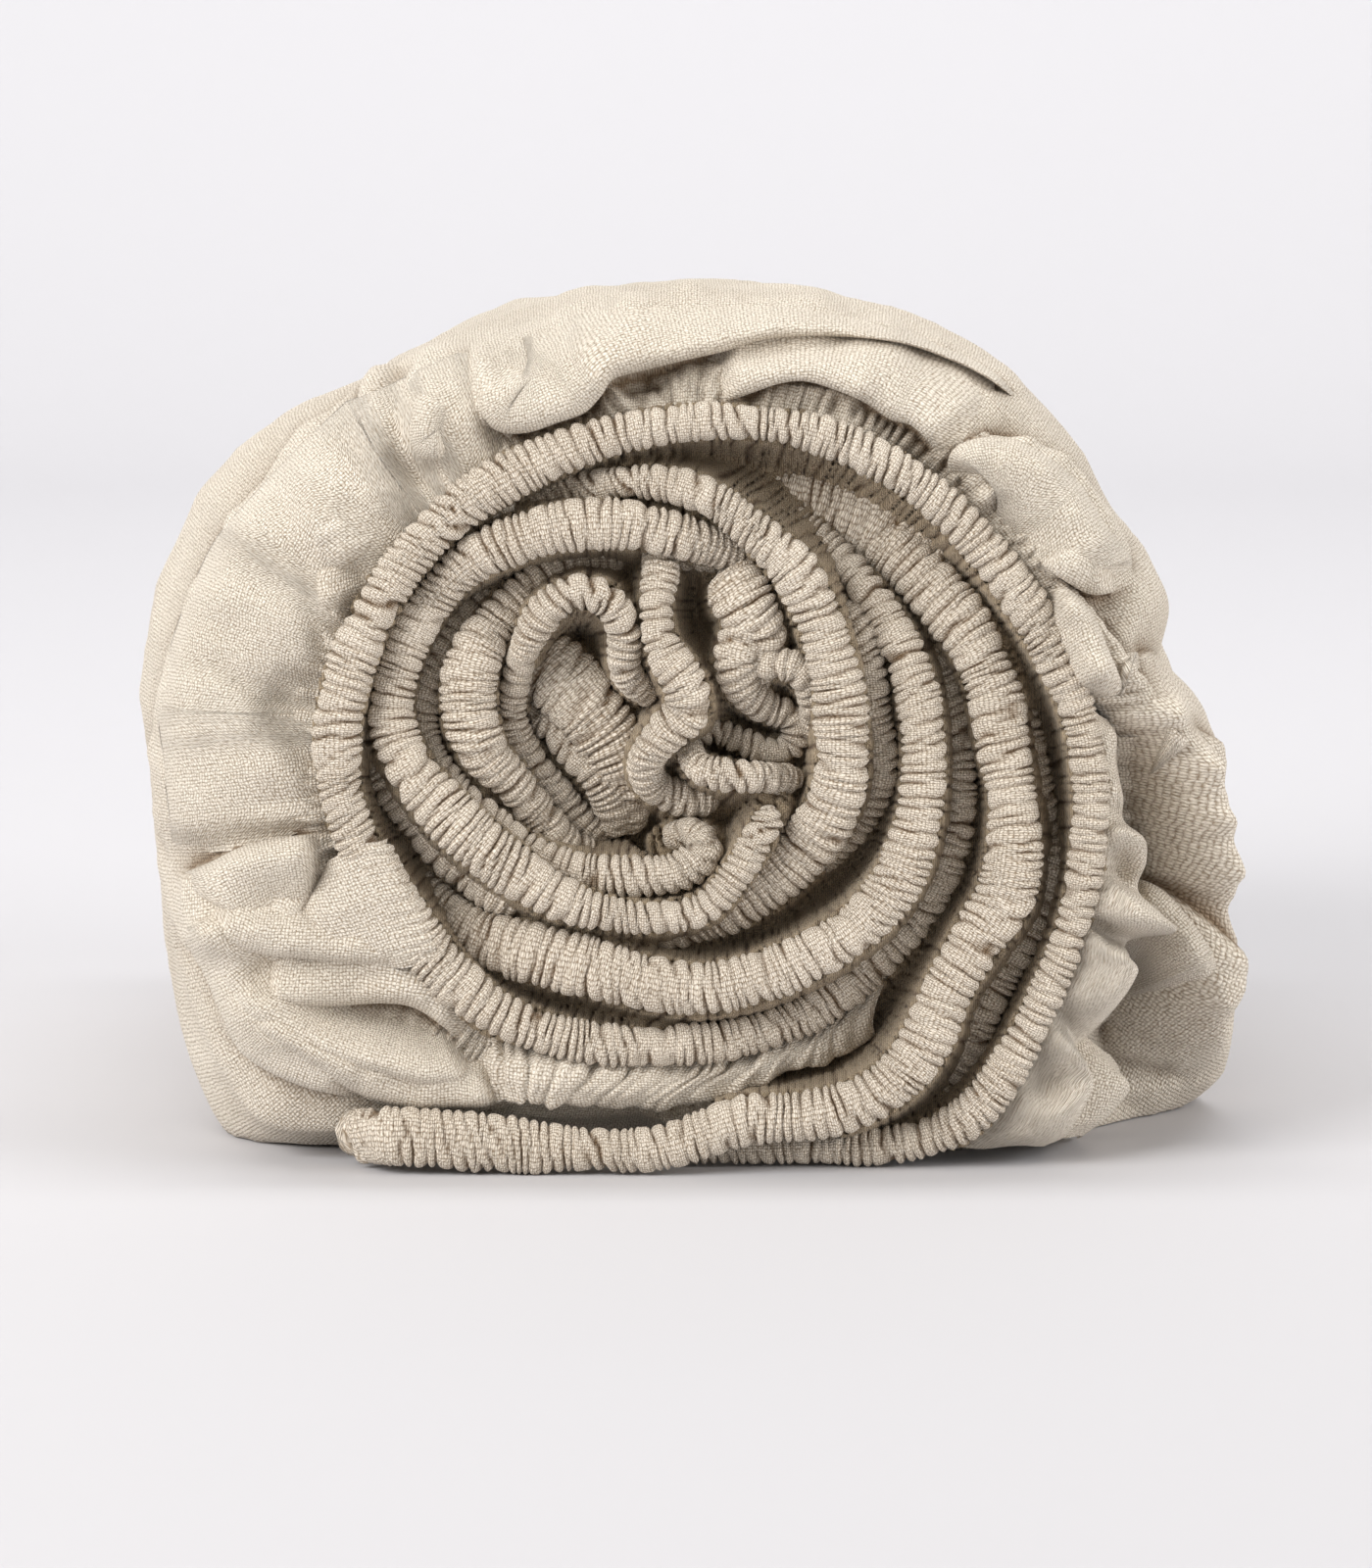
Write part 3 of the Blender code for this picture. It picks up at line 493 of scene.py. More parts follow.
# More turns of the same casing, deep in the roll, of which only short lengths show between the others.
STRANDS = {
    "deep_turn": (
        (4, 166, 38, 9), (12, 163, 34, 13), (22, 159.5, 31, 17), (32, 157, 29, 19), (42, 153.5, 28, 19),
        (50, 149, 27, 16), (57, 143.5, 26, 13), (63, 137, 27, 10), (67, 130, 30, 8),
    ),
    "deep_right_turn": (
        (70, 122, 30, 8), (76, 113, 27, 9), (80, 103, 25, 9), (82, 93, 24, 8.5), (83.5, 84, 25, 8),
        (84, 78, 29, 7),
    ),
    "deep_low_turn": (
        (88, 80, 27, 7), (86.5, 73, 22, 9), (83, 64, 22, 10), (78, 55, 21, 10), (73, 46, 21, 10),
        (69, 37, 20, 9), (65, 28, 22, 9), (58, 20, 26, 8),
    ),
    "low_strand": (
        (-38, 110, 30, 7), (-33, 106.5, 25, 9), (-27, 100.5, 23, 9.5), (-21, 93.5, 23, 9.5),
        (-17.5, 86.5, 26, 9), (-18, 80, 32, 8),
    ),
    "left_strand": (
        (-75, 104, 24, 6), (-74, 97, 19, 7.5), (-69.5, 90, 17, 8.5), (-63.5, 83, 17, 9), (-57.5, 76, 17, 9),
        (-50, 69.5, 16, 9), (-43.5, 65, 15, 9.5), (-37, 63.5, 20, 8),
    ),
    "ribbed_wedge": (
        (9, 142, 15, 11), (11.5, 138, 10, 15), (15, 132.5, 8, 15), (18, 127.5, 9, 12), (17, 121, 12, 10),
        (14, 114, 17, 9),
    ),
    "small_loop": (
        (13, 122, 15, 7), (18.5, 120.5, 10, 8), (25, 119.5, 9, 8.5), (29, 115, 11, 8), (30, 109, 15, 7),
        (28, 103, 20, 7),
    ),
    "right_strand": (
        (36, 135, 18, 7), (40.5, 128, 15, 8), (43, 120, 14, 8.5), (44, 111, 14, 9), (45.5, 102, 15, 9),
        (45.5, 93, 16, 8.5), (42, 85, 17, 8), (36, 78, 18, 8), (30, 72, 20, 7),
    ),
    "top_strand": (
        (-7, 146, 24, 8), (2, 146, 19, 8), (10, 144.5, 17, 8), (17, 141, 19, 8), (22, 136, 24, 7),
    ),
}
for seed, (name, rows) in enumerate(STRANDS.items()):
    strand = casing_band(name, rows, 10 * seed + 203)
    strand.data.materials.append(casing_linen)
    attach(strand, "root")

# The outer turn of the sheet. It comes out from behind the outermost casing, puffs out all round, turns back
# over the roll and runs to its far end. It is one cloth, creased where the elastic draws it in.
MIDDLE = np.array([0.0, 100.0])
RIM = (
    (99, 60, 44), (100, 88, 36), (100.5, 99, 28), (97, 108, 13), (95, 114, 10), (84, 136, 10),
    (66, 159, 10), (40, 177, 10), (10, 183, 10), (-22, 180, 9), (-50, 168, 8), (-72, 150, 6), (-85, 124, 4),
    (-89, 102, 4), (-86, 80, 4), (-80, 62, 4), (-72, 47, 5), (-60, 35, 7), (-45, 27, 8), (-20, 23, 9),
    (0, 21, 12), (20, 14, 18), (42, 9, 20), (62, 8, 26), (72, 9, 34), (82, 14, 42), (90, 28, 46),
    (96, 44, 46),
)
OUTLINE = (
    (124.5, 62, 64), (125, 72, 68), (126, 80, 70), (124.5, 90, 72), (122.5, 99, 72), (120.5, 108, 72),
    (117, 115, 72), (111.5, 119.5, 74), (108, 123, 68), (111, 129, 62), (112, 137, 56), (108, 146, 52),
    (101, 155, 50), (96.5, 163, 52), (90, 173, 54), (83, 182, 56), (76, 189, 58), (66, 196, 60),
    (54, 202, 62), (40, 206, 66), (24, 209, 70), (8, 209.5, 74), (-8, 209.5, 78), (-24, 208.5, 76),
    (-34, 204, 70), (-48, 199, 64), (-60, 194, 60), (-74, 187, 60), (-90, 181, 70), (-102, 174, 74),
    (-113, 163, 76), (-120, 149, 78), (-126, 132, 78), (-128, 114, 76), (-126, 98, 70), (-124, 80, 58),
    (-122, 60, 48), (-118, 44, 38), (-112, 30, 30), (-105, 17, 24), (-99, 11, 22), (-86, 10, 20),
    (-72, 12, 16), (-58, 13, 14), (-38, 14, 13), (-10, 13, 13), (20, 8, 22), (50, 6, 30), (76, 6, 40),
    (94, 9.5, 66), (106, 13.5, 92), (114, 15.5, 104), (122, 20, 96), (127.5, 28, 78), (129.5, 38, 66),
    (128.5, 48, 62), (126, 56, 62),
)
MID_SECTION = (
    (131, 40), (130, 66), (123, 100), (111, 132), (94, 161), (69, 184), (36, 198), (0, 201), (-40, 195),
    (-78, 179), (-108, 156), (-125, 126), (-131, 94), (-130, 60), (-125, 28), (-117, 2), (-98, -14),
    (-80, -6), (0, -10), (80, -6), (106, 2), (122, 16),
)
OUTER_AROUND = 640
RUFF_RINGS = 108
SIDE_RINGS = 32
BACK_BULGE = 30.0
BACK_TAPER = 0.06
FILL_LENGTH = 36.0
# Gathers of the outer turn: how many go round, how far they reach in mm, their height in mm, and their seed.
RIPPLES = ((190, 5, 1.3, 3), (97, 9, 1.1, 4), (53, 18, 0.6, 5), (27, 36, 0.6, 6))

# Edges of the layers seen from the front. Each has the height of its step, how far the layer's swell
# reaches, and the (x, z) of its line, in mm. The raised layer lies to the left as one walks along the line.
LAYER_EDGES = (
    (7.5, 16, ((-50, 192), (-49.5, 184), (-47.5, 178), (-43.5, 174.5), (-37, 174.5), (-30, 176.8),
        (-24, 179), (-20, 183), (-17, 187), (-10, 189), (0, 191.5), (9, 193.5), (20, 196.5), (35, 197),
        (50, 195.5), (62, 191.5), (71, 187), (79, 181))),
    (5.5, 13, ((6, 182), (10, 182), (16, 184), (22, 186), (28, 186.5), (35, 184.5), (42, 181.5),
        (48, 177.5), (53, 176), (58, 171), (60, 166))),
    (7.5, 13, ((104, 139), (104.5, 147), (100, 154), (94, 161), (86, 168), (78, 172.5), (70, 173.3),
        (64, 171.5), (61.5, 168), (62, 162))),
    (7.5, 12, ((80, 147), (84, 143), (90, 139), (95, 136.5), (100, 137), (104, 139.5))),
    (9.0, 9, ((104, 111), (101.5, 118), (99, 124), (96, 131), (92, 136), (86, 141))),
    (6.0, 9, ((112, 121), (105, 123), (99, 121))),
    (5.0, 9, ((122, 99), (117, 103), (113.5, 105.5), (109.5, 105.5))),
    (9.0, 16, ((129, 44), (124, 52), (120, 58), (116, 63), (112, 67), (107, 69.5), (101, 70))),
    (7.0, 24, ((-52, 201), (-62, 196.5), (-71, 190), (-80, 181.5), (-90, 172), (-100, 161.5), (-110, 150),
        (-116, 138), (-120.5, 126), (-123.5, 113), (-125, 100), (-125, 86), (-122, 74))),
    (8.5, 12, ((-60, 190), (-63, 185), (-65.5, 177), (-65, 171), (-61, 168), (-56, 168.5), (-51, 171))),
    (5.0, 9, ((-49.5, 196), (-50.5, 186), (-50.5, 177), (-47, 172.5), (-44, 172))),
    (4.5, 7, ((-72, 190), (-75, 180), (-76, 168), (-75.5, 158), (-74, 148))),
    (5.5, 12, ((-94, 158), (-90, 150), (-85, 144), (-82, 140), (-80, 136))),
    (5.0, 9, ((-89, 148), (-87, 140), (-86, 134), (-84, 128))),
    (7.5, 15, ((-83, 80.5), (-90, 80), (-98, 79), (-105, 77), (-112, 73.5), (-121, 70))),
    (5.0, 9, ((-83, 61.5), (-87, 64), (-91, 66.5), (-96, 69), (-102, 70.5))),
    (7.5, 11, ((-116, 57), (-108, 54.5), (-100, 52), (-90, 51), (-80, 50), (-70, 48.5), (-64, 43))),
    (6.5, 10, ((-104, 43), (-98, 40.5), (-84, 39.8), (-72, 40.5), (-64, 39.5), (-57, 35), (-52, 30))),
    (7.5, 9, ((-121, 61), (-113, 52), (-108, 44), (-104, 38.5), (-99, 35), (-92, 31), (-86, 28.5),
        (-78, 25.5), (-70, 23.3), (-60, 21), (-52, 22.5), (-47, 27))),
    (7.5, 8, ((-106, 39), (-99, 33), (-92, 28.5), (-87, 25), (-82, 22), (-77, 19.5), (-70, 17), (-62, 14.8),
        (-54, 14.5), (-48, 16), (-40, 17))),
    (6.5, 9, ((-121, 62), (-117, 54), (-113, 47), (-110, 40), (-107, 33), (-104, 28.5), (-98, 24.5),
        (-90, 21), (-84, 19.5), (-76, 18))),
)

# Soft folds seen from the front: x and z of each end, rise, half width, in mm. A rise below 0 is a crease.
FRONT_FOLDS = (
    (-82, 165, -90, 176, 3, 7), (-70.5, 160, -70, 186, 5, 3.4), (-66.5, 166, -66.5, 187, -5, 1.8),
    (-64.5, 165, -60, 164, -8, 4), (-72, 163, -70.5, 156, -5, 2), (-60, 171, -58, 192, 3, 6),
    (-48, 176, -47, 190, 3, 3), (-45.5, 172, -46, 182, -4, 1.6), (-34, 186, -12, 199, 4, 6),
    (-12, 199, 30, 203, 3, 6), (-30, 203, 0, 207, 3, 4), (0, 205, 12, 211, 3, 4),
    (-13, 185, -7, 186.5, -7, 3), (-18.5, 184, -15, 182, 4, 2), (12, 193, 36, 194, -6, 2.5),
    (20, 189, 45, 191, 3, 6), (45, 191, 70, 182, 3, 8), (24, 185, 40, 183, 2.5, 2),
    (51, 169, 58, 165, -5, 2.5), (66, 171, 70, 160, 3, 3), (64, 165, 66, 158, -4, 1.8),
    (78, 171, 90, 152, 2, 3), (86, 167, 98, 150, 2, 3), (74, 164, 92, 148, 3, 8), (82, 143, 98, 124, 4, 5),
    (86, 132, 96, 121, -6, 1.8), (88, 127, 95, 121, 4, 2.2), (92, 118, 104, 108, 4, 5),
    (94, 109, 101, 106, -4, 2), (100, 128, 108, 134, 4, 8), (98, 130, 100, 125, -5, 4),
    (99, 120, 106, 109, 6, 5.5), (106, 109, 110.5, 99, 11, 5.5), (110.5, 99, 113, 88, 13, 6),
    (113, 88, 117, 76, 12, 6.5), (117, 76, 121, 60, 9, 7), (104, 104, 105.5, 74, -7, 4.5),
    (113.5, 104, 117.5, 90, -4, 2.2), (117.5, 90, 121, 74, -4, 2.2), (117, 103, 121, 88, 4, 3.5),
    (110, 117, 118, 108, 3, 7), (106, 58, 107, 46, -8, 5), (107, 46, 102, 30, -7, 5),
    (102, 30, 103, 19, -6, 5), (113, 60, 117, 48, 7, 8), (117, 48, 123, 35, 9, 9),
    (105, 23, 118, 22, -7, 7), (121, 58, 127, 46, 4, 4), (-110, 120.5, -104, 115.5, -3.5, 1.5),
    (-104, 115.5, -97, 111.5, -4.5, 1.6), (-97, 111.5, -87, 109.3, -6, 1.8),
    (-95, 115.3, -87, 116.3, -6, 2.6), (-97, 106, -87, 102, -4, 4), (-100, 117, -92, 124, 3, 7),
    (-88, 92, -100, 97, 3, 7), (-88, 90, -94, 88, -2.5, 3), (-87, 84, -94, 85, 2.5, 3),
    (-94, 159, -93, 155, -5, 2.2), (-88, 160, -80, 152, 2, 6), (-81, 142, -83, 139, -5, 2.2),
    (-79, 147, -76.5, 141, -5, 1.6), (-84, 136, -81, 133, 4, 2), (-103, 150, -108, 138, 3, 6),
    (-112, 135, -117, 115, 3, 4), (-108, 150, -114, 130, -2.5, 2.5), (-117, 110, -119, 85, 3, 5),
    (-96, 66.5, -87, 62.5, -4, 2), (-104, 75, -90, 76, 3, 5), (-112, 64, -96, 60, 4, 8),
    (-110, 49, -100, 46, -4, 4), (-84, 35.5, -66, 36, -5, 4), (-80, 45, -66, 45, -3, 3),
    (-90, 33, -60, 27, 2, 4), (-104, 31, -84, 23, -2.5, 2.5),
)


def table_round(rows, seen):
    """Angle, radius and depth of rows round the middle, repeated a turn each way. Rows are (x, z, depth) as
    seen from the front, or (x, z) as they are."""
    rows = np.array(rows, float)
    points = seen_at(rows[:, 0], rows[:, 1], rows[:, 2]) * 1000 if seen else rows[:, [0, 0, 1]]
    dx, dz = points[:, 0] - MIDDLE[0], points[:, 2] - MIDDLE[1]
    around = np.arctan2(dz, dx) % (2 * math.pi)
    table = np.stack([around, np.hypot(dx, dz), points[:, 1] - FRONT * 1000], axis=1)
    table = table[np.argsort(table[:, 0])]
    turn = np.array([2 * math.pi, 0, 0])
    return np.vstack([table - turn, table, table + turn])


def read_round(table, angle, column, blur=1.3):
    """A column of the table at these angles, rounded off over about this many degrees each way."""
    turns = np.linspace(-2.5, 2.5, 21)
    shares = np.exp(-turns**2 / 2)
    total = np.zeros(np.shape(angle))
    for turn, share in zip(np.radians(turns * blur), shares / shares.sum()):
        total += share * np.interp(angle + turn, table[:, 0], table[:, column])
    return total


def fold_field(x, z, folds):
    """Sum of the folds at places of the picture plane: each falls off with distance from its line, roundly
    as exp(-d^1.5) where it rises and sharply as exp(-d) where it is a crease."""
    total = np.zeros(x.shape)
    for x1, z1, x2, z2, rise, half in folds:
        run, climb = x2 - x1, z2 - z1
        share = np.clip(((x - x1) * run + (z - z1) * climb) / (run**2 + climb**2), 0, 1)
        away = np.hypot(x - x1 - share * run, z - z1 - share * climb) / half
        total += rise * np.exp(-(away**1.5 if rise > 0 else away))
    return total


def layer_field(x, z, edges):
    """Rise of the layers at places of the picture plane, and how near each place is to the crease under an
    edge. On its raised side a layer rounds up over 2 mm and sinks away as exp(-(d / reach)^2). On the low
    side the cloth is pressed in under the edge. Both fade towards the ends of the edge."""
    total, crease = np.zeros(x.shape), np.zeros(x.shape)
    for height, reach, line in edges:
        line = np.array(line, float)
        run = np.hypot(*np.diff(line, axis=0).T)
        start = np.concatenate([[0], np.cumsum(run)])
        away, side, place = np.full(x.shape, 1e9), np.zeros(x.shape), np.zeros(x.shape)
        for k, ((x1, z1), (x2, z2)) in enumerate(zip(line[:-1], line[1:])):
            dx, dz = (x2 - x1) / run[k], (z2 - z1) / run[k]
            at = np.clip((x - x1) * dx + (z - z1) * dz, 0, run[k])
            far = np.hypot(x - x1 - at * dx, z - z1 - at * dz)
            closer = far < away
            away = np.where(closer, far, away)
            side = np.where(closer, dx * (z - z1) - dz * (x - x1), side)
            place = np.where(closer, start[k] + at, place)
        ends = np.clip(np.minimum(place, start[-1] - place) / 9, 0, 1)
        ends = ends * ends * (3 - 2 * ends)
        rounded = np.sqrt(1 - (1 - np.minimum(away, 2.2) / 2.2) ** 2)
        sunk = 0.32 * height
        raised = height * np.exp(-((away / reach) ** 2)) * rounded - sunk * (1 - rounded)
        total += ends * np.where(side > 0, raised, -sunk * np.exp(-away / 3.5))
        crease = np.maximum(crease, ends * np.exp(-away / np.where(side > 0, 0.5, 2.2)))
    return total, crease


def hollow(rise):
    """How far each place lies below the mean of the cloth some 4 mm round it, in mm."""
    mean = rise
    for _ in range(9):
        mean = (np.roll(mean, 1, 1) + mean + np.roll(mean, -1, 1)) / 3
        mean = (np.vstack([mean[:1], mean[:-1]]) + mean + np.vstack([mean[1:], mean[-1:]])) / 3
    return mean - rise


def outer_profile(angle, ruff, side):
    """Rings of the outer turn in mm, and the unit direction out of the cloth at each: a quarter ellipse from
    the rim to the outline, then along the roll while the section fills out to its middle."""
    rim, outline = table_round(RIM, True), table_round(OUTLINE, True)
    middle = table_round(MID_SECTION, False)
    rim_radius, rim_depth = read_round(rim, angle, 1) - 6, read_round(rim, angle, 2) + 2.5
    out_radius, out_depth = read_round(outline, angle, 1), read_round(outline, angle, 2)
    out_depth = np.maximum(out_depth, rim_depth + 6)
    mid_radius = read_round(middle, angle, 1, 5.0)
    swing = ruff[:, None] * math.pi / 2
    radius = rim_radius + (out_radius - rim_radius) * np.sin(swing)
    depth = rim_depth + (out_depth - rim_depth) * (1 - np.cos(swing))
    outward = np.sin(swing) + 0 * radius
    end = ROLL_LENGTH * 1000 - BACK_BULGE - 4
    deep = out_depth + (end - out_depth) * side[:, None]
    filled = np.clip((deep - out_depth) / FILL_LENGTH, 0, 1)
    filled = filled * filled * (3 - 2 * filled)
    far = (out_radius + (mid_radius - out_radius) * filled) * (1 - BACK_TAPER * side[:, None] ** 3)
    over = np.linspace(0, 0.36, 13)[1:, None]
    lip_radius, lip_depth = far_dome(far[-1], over)
    turned = np.clip((over - 0.24) / 0.12, 0, 1) ** 2
    radius = np.vstack([radius, far, lip_radius - 3 * turned])
    depth = np.vstack([depth, deep, lip_depth - 9 * turned])
    outward = np.vstack([outward, np.ones(far.shape), np.cos(over * math.pi / 2) + 0 * lip_radius])
    return radius, depth, outward


def far_dome(side_radius, share):
    """Radius and depth on the domed far end: share is 0 at its shoulder and 1 at its middle."""
    swing = share * math.pi / 2
    depth = ROLL_LENGTH * 1000 - 4 - BACK_BULGE * (1 - np.sin(swing))
    return side_radius * np.cos(swing), depth + 0 * side_radius


def in_space(radius, depth, angle):
    """Points in metres from radius and angle round the middle and depth behind the front, in mm."""
    x = MIDDLE[0] + radius * np.cos(angle)
    z = MIDDLE[1] + radius * np.sin(angle)
    return np.stack([x, FRONT * 1000 + depth, z], axis=-1) * 0.001


def crumple(points, size, seed):
    """Creased noise, 0 to about 1: sharp where smooth noise crosses nothing, as 1 - |noise|, squared."""
    x, y, z = (points[..., k] * 1000 / size for k in range(3))
    return (1 - np.abs(noise(x, y, z, seed))) ** 2


def outer_turn():
    """The rings of outer_profile, moved out of the cloth by the folds, layers, gathers and creased noise.
    The gathers are cosines round the roll whose phase drifts. Also returns the ruff's rings as they are
    before the cloth is pressed in under its layers, for the folds that lie on them."""
    angle = np.arange(OUTER_AROUND) * 2 * math.pi / OUTER_AROUND
    ruff = np.linspace(0, 1, RUFF_RINGS)
    side = (np.arange(1, SIDE_RINGS + 1) / SIDE_RINGS) ** 1.35
    radius, depth, outward = outer_profile(angle, ruff, side)
    base = in_space(radius, depth, angle)
    x, z = picture_of(base)
    steps = np.linalg.norm(np.diff(base, axis=0), axis=2) * 1000
    out = np.vstack([np.zeros((1, len(angle))), np.cumsum(steps, axis=0)])
    facing = np.sqrt(1 - outward**2)
    on_front = np.clip(1.4 - (depth - 20) / 70, 0, 1) * np.clip(1.6 * facing - 0.02, 0, 1)
    rise = fold_field(x, z, FRONT_FOLDS) * on_front * np.clip(out / 6, 0, 1)
    layers, crease = layer_field(x, z, LAYER_EDGES)
    rise = rise + 0.35 * layers * on_front * np.clip(out / 4, 0, 1)
    pressed = 0.9 * np.minimum(layers, 0) * on_front * np.clip(out / 4, 0, 1)
    turn_x, turn_z = np.cos(angle), np.sin(angle)
    for count, reach, height, seed in RIPPLES:
        drift = 2.4 * noise(turn_x * 6, turn_z * 6, out / 30, seed)
        ripple = np.cos(count * angle + 2 * math.pi * drift)
        strength = 0.6 + 0.5 * noise(turn_x * 6, turn_z * 6, out / 40, seed + 20)
        fading = np.exp(-(np.maximum(out - 8, 0) / reach) ** 2) * np.clip(1.6 * facing - 0.1, 0, 1)
        rise = rise + height * strength * ripple * fading
    rise = rise + 1.2 * (crumple(base, 34, 7) - 0.5) * np.clip(out / 25, 0, 1)
    rise = rise + (0.25 + 0.95 * facing) * (crumple(base, 15, 8) - 0.5) * np.clip(out / 15, 0, 1)
    rise = rise + (0.15 + 0.35 * facing) * (crumple(base, 6.5, 10) - 0.5)
    long_way = base * np.array([1, 0.28, 1])
    rise = rise + 1.9 * (crumple(long_way, 26, 17) - 0.5) * (1 - facing) * np.clip((depth - 60) / 60, 0, 1)
    rise = rise + 2.0 * noise(*(base[..., k] * 1000 / 55 for k in range(3)), 9) * np.clip(out / 30, 0, 1)
    inward = facing * np.where(depth < 200, 1, -1)
    bed = in_space(radius + rise * outward, depth - rise * inward, angle)
    rise = rise + pressed
    points = in_space(radius + rise * outward, depth - rise * inward, angle)
    points[..., 2] = np.maximum(points[..., 2], 0.0003)
    uv = np.empty(points.shape[:2] + (2,))
    uv[..., 0] = angle * 0.125
    uv[..., 1] = out * 0.001
    # Painted shade: crest falls in the creases under the layers' edges and in hollows, so the linen's colour
    # darkens there.
    shade = 0.85 * crease * on_front + 0.42 * np.clip(hollow(rise) / 1.6, 0, 1)
    crest = FULL_CREST * (1 - np.clip(shade, 0, 0.92))
    made = grid_mesh("outer_turn", points[:, ::-1], closed_round=True, uv=uv[:, ::-1], crest=crest[:, ::-1])
    return made, bed[:RUFF_RINGS + 4]


cloth_linen = linen_weave("washed_linen", (0.375, 0.29, 0.20), (0.97, 0.90, 0.79), 0.84)
outer, ruff_points = outer_turn()
outer.data.materials.append(cloth_linen)
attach(outer, "root")
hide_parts("rolled_cloth")

# The folds of the outer turn that lie over one another, of the same cloth. Each is rolled over at its lip,
# rounds up from it and runs into the cloth behind. LIP is a fold's section from its tucked lip inwards, as
# (distance in from the edge, in reaches, lift off the cloth, in heights).
FOLD_STEP = 0.9
FOLD_ROWS = 24
MAP_LEFT, MAP_LOW, MAP_WIDTH, MAP_HEIGHT = -150, -20, 300, 250
LIP = (
    (0.22, -0.30), (0.09, -0.05), (0.01, 0.22), (0.0, 0.48), (0.05, 0.74), (0.16, 0.93), (0.34, 1.0),
    (0.60, 0.90), (0.90, 0.62), (1.20, 0.28), (1.45, -0.05), (1.65, -0.35),
)


def depth_map(points):
    """Depth of the cloth behind the front on squares of 1 mm of the picture plane, blurred over 3 mm, with
    the squares that no point falls in filled from their neighbours."""
    x, z = picture_of(points)
    column = np.clip(np.round(x - MAP_LEFT), 0, MAP_WIDTH).astype(int)
    row = np.clip(np.round(z - MAP_LOW), 0, MAP_HEIGHT).astype(int)
    total, count = np.zeros((2, MAP_HEIGHT + 1, MAP_WIDTH + 1))
    np.add.at(total, (row, column), points[..., 1] * 1000 - FRONT * 1000)
    np.add.at(count, (row, column), 1)
    deep = total / np.maximum(count, 1)
    known = (count > 0).astype(float)
    for _ in range(40):
        sides = [(k, axis) for k in (-1, 1) for axis in (0, 1)]
        weight = known + sum(np.roll(known, k, axis) for k, axis in sides)
        around = deep * known + sum(np.roll(deep * known, k, axis) for k, axis in sides)
        deep = np.where(known > 0, deep, around / np.maximum(weight, 1))
        known = (weight > 0).astype(float)
    for _ in range(4):
        for axis in (0, 1):
            deep = (np.roll(deep, 1, axis) + 2 * deep + np.roll(deep, -1, axis)) / 4
    return deep


def read_map(deep, x, z):
    """The map's depth at places of the picture plane, read between its squares."""
    column = np.clip(x - MAP_LEFT, 0, MAP_WIDTH - 0.1)
    row = np.clip(z - MAP_LOW, 0, MAP_HEIGHT - 0.1)
    i, j = row.astype(int), column.astype(int)
    down, right = row - i, column - j
    top = deep[i, j] * (1 - right) + deep[i, j + 1] * right
    return top * (1 - down) + (deep[i + 1, j] * (1 - right) + deep[i + 1, j + 1] * right) * down


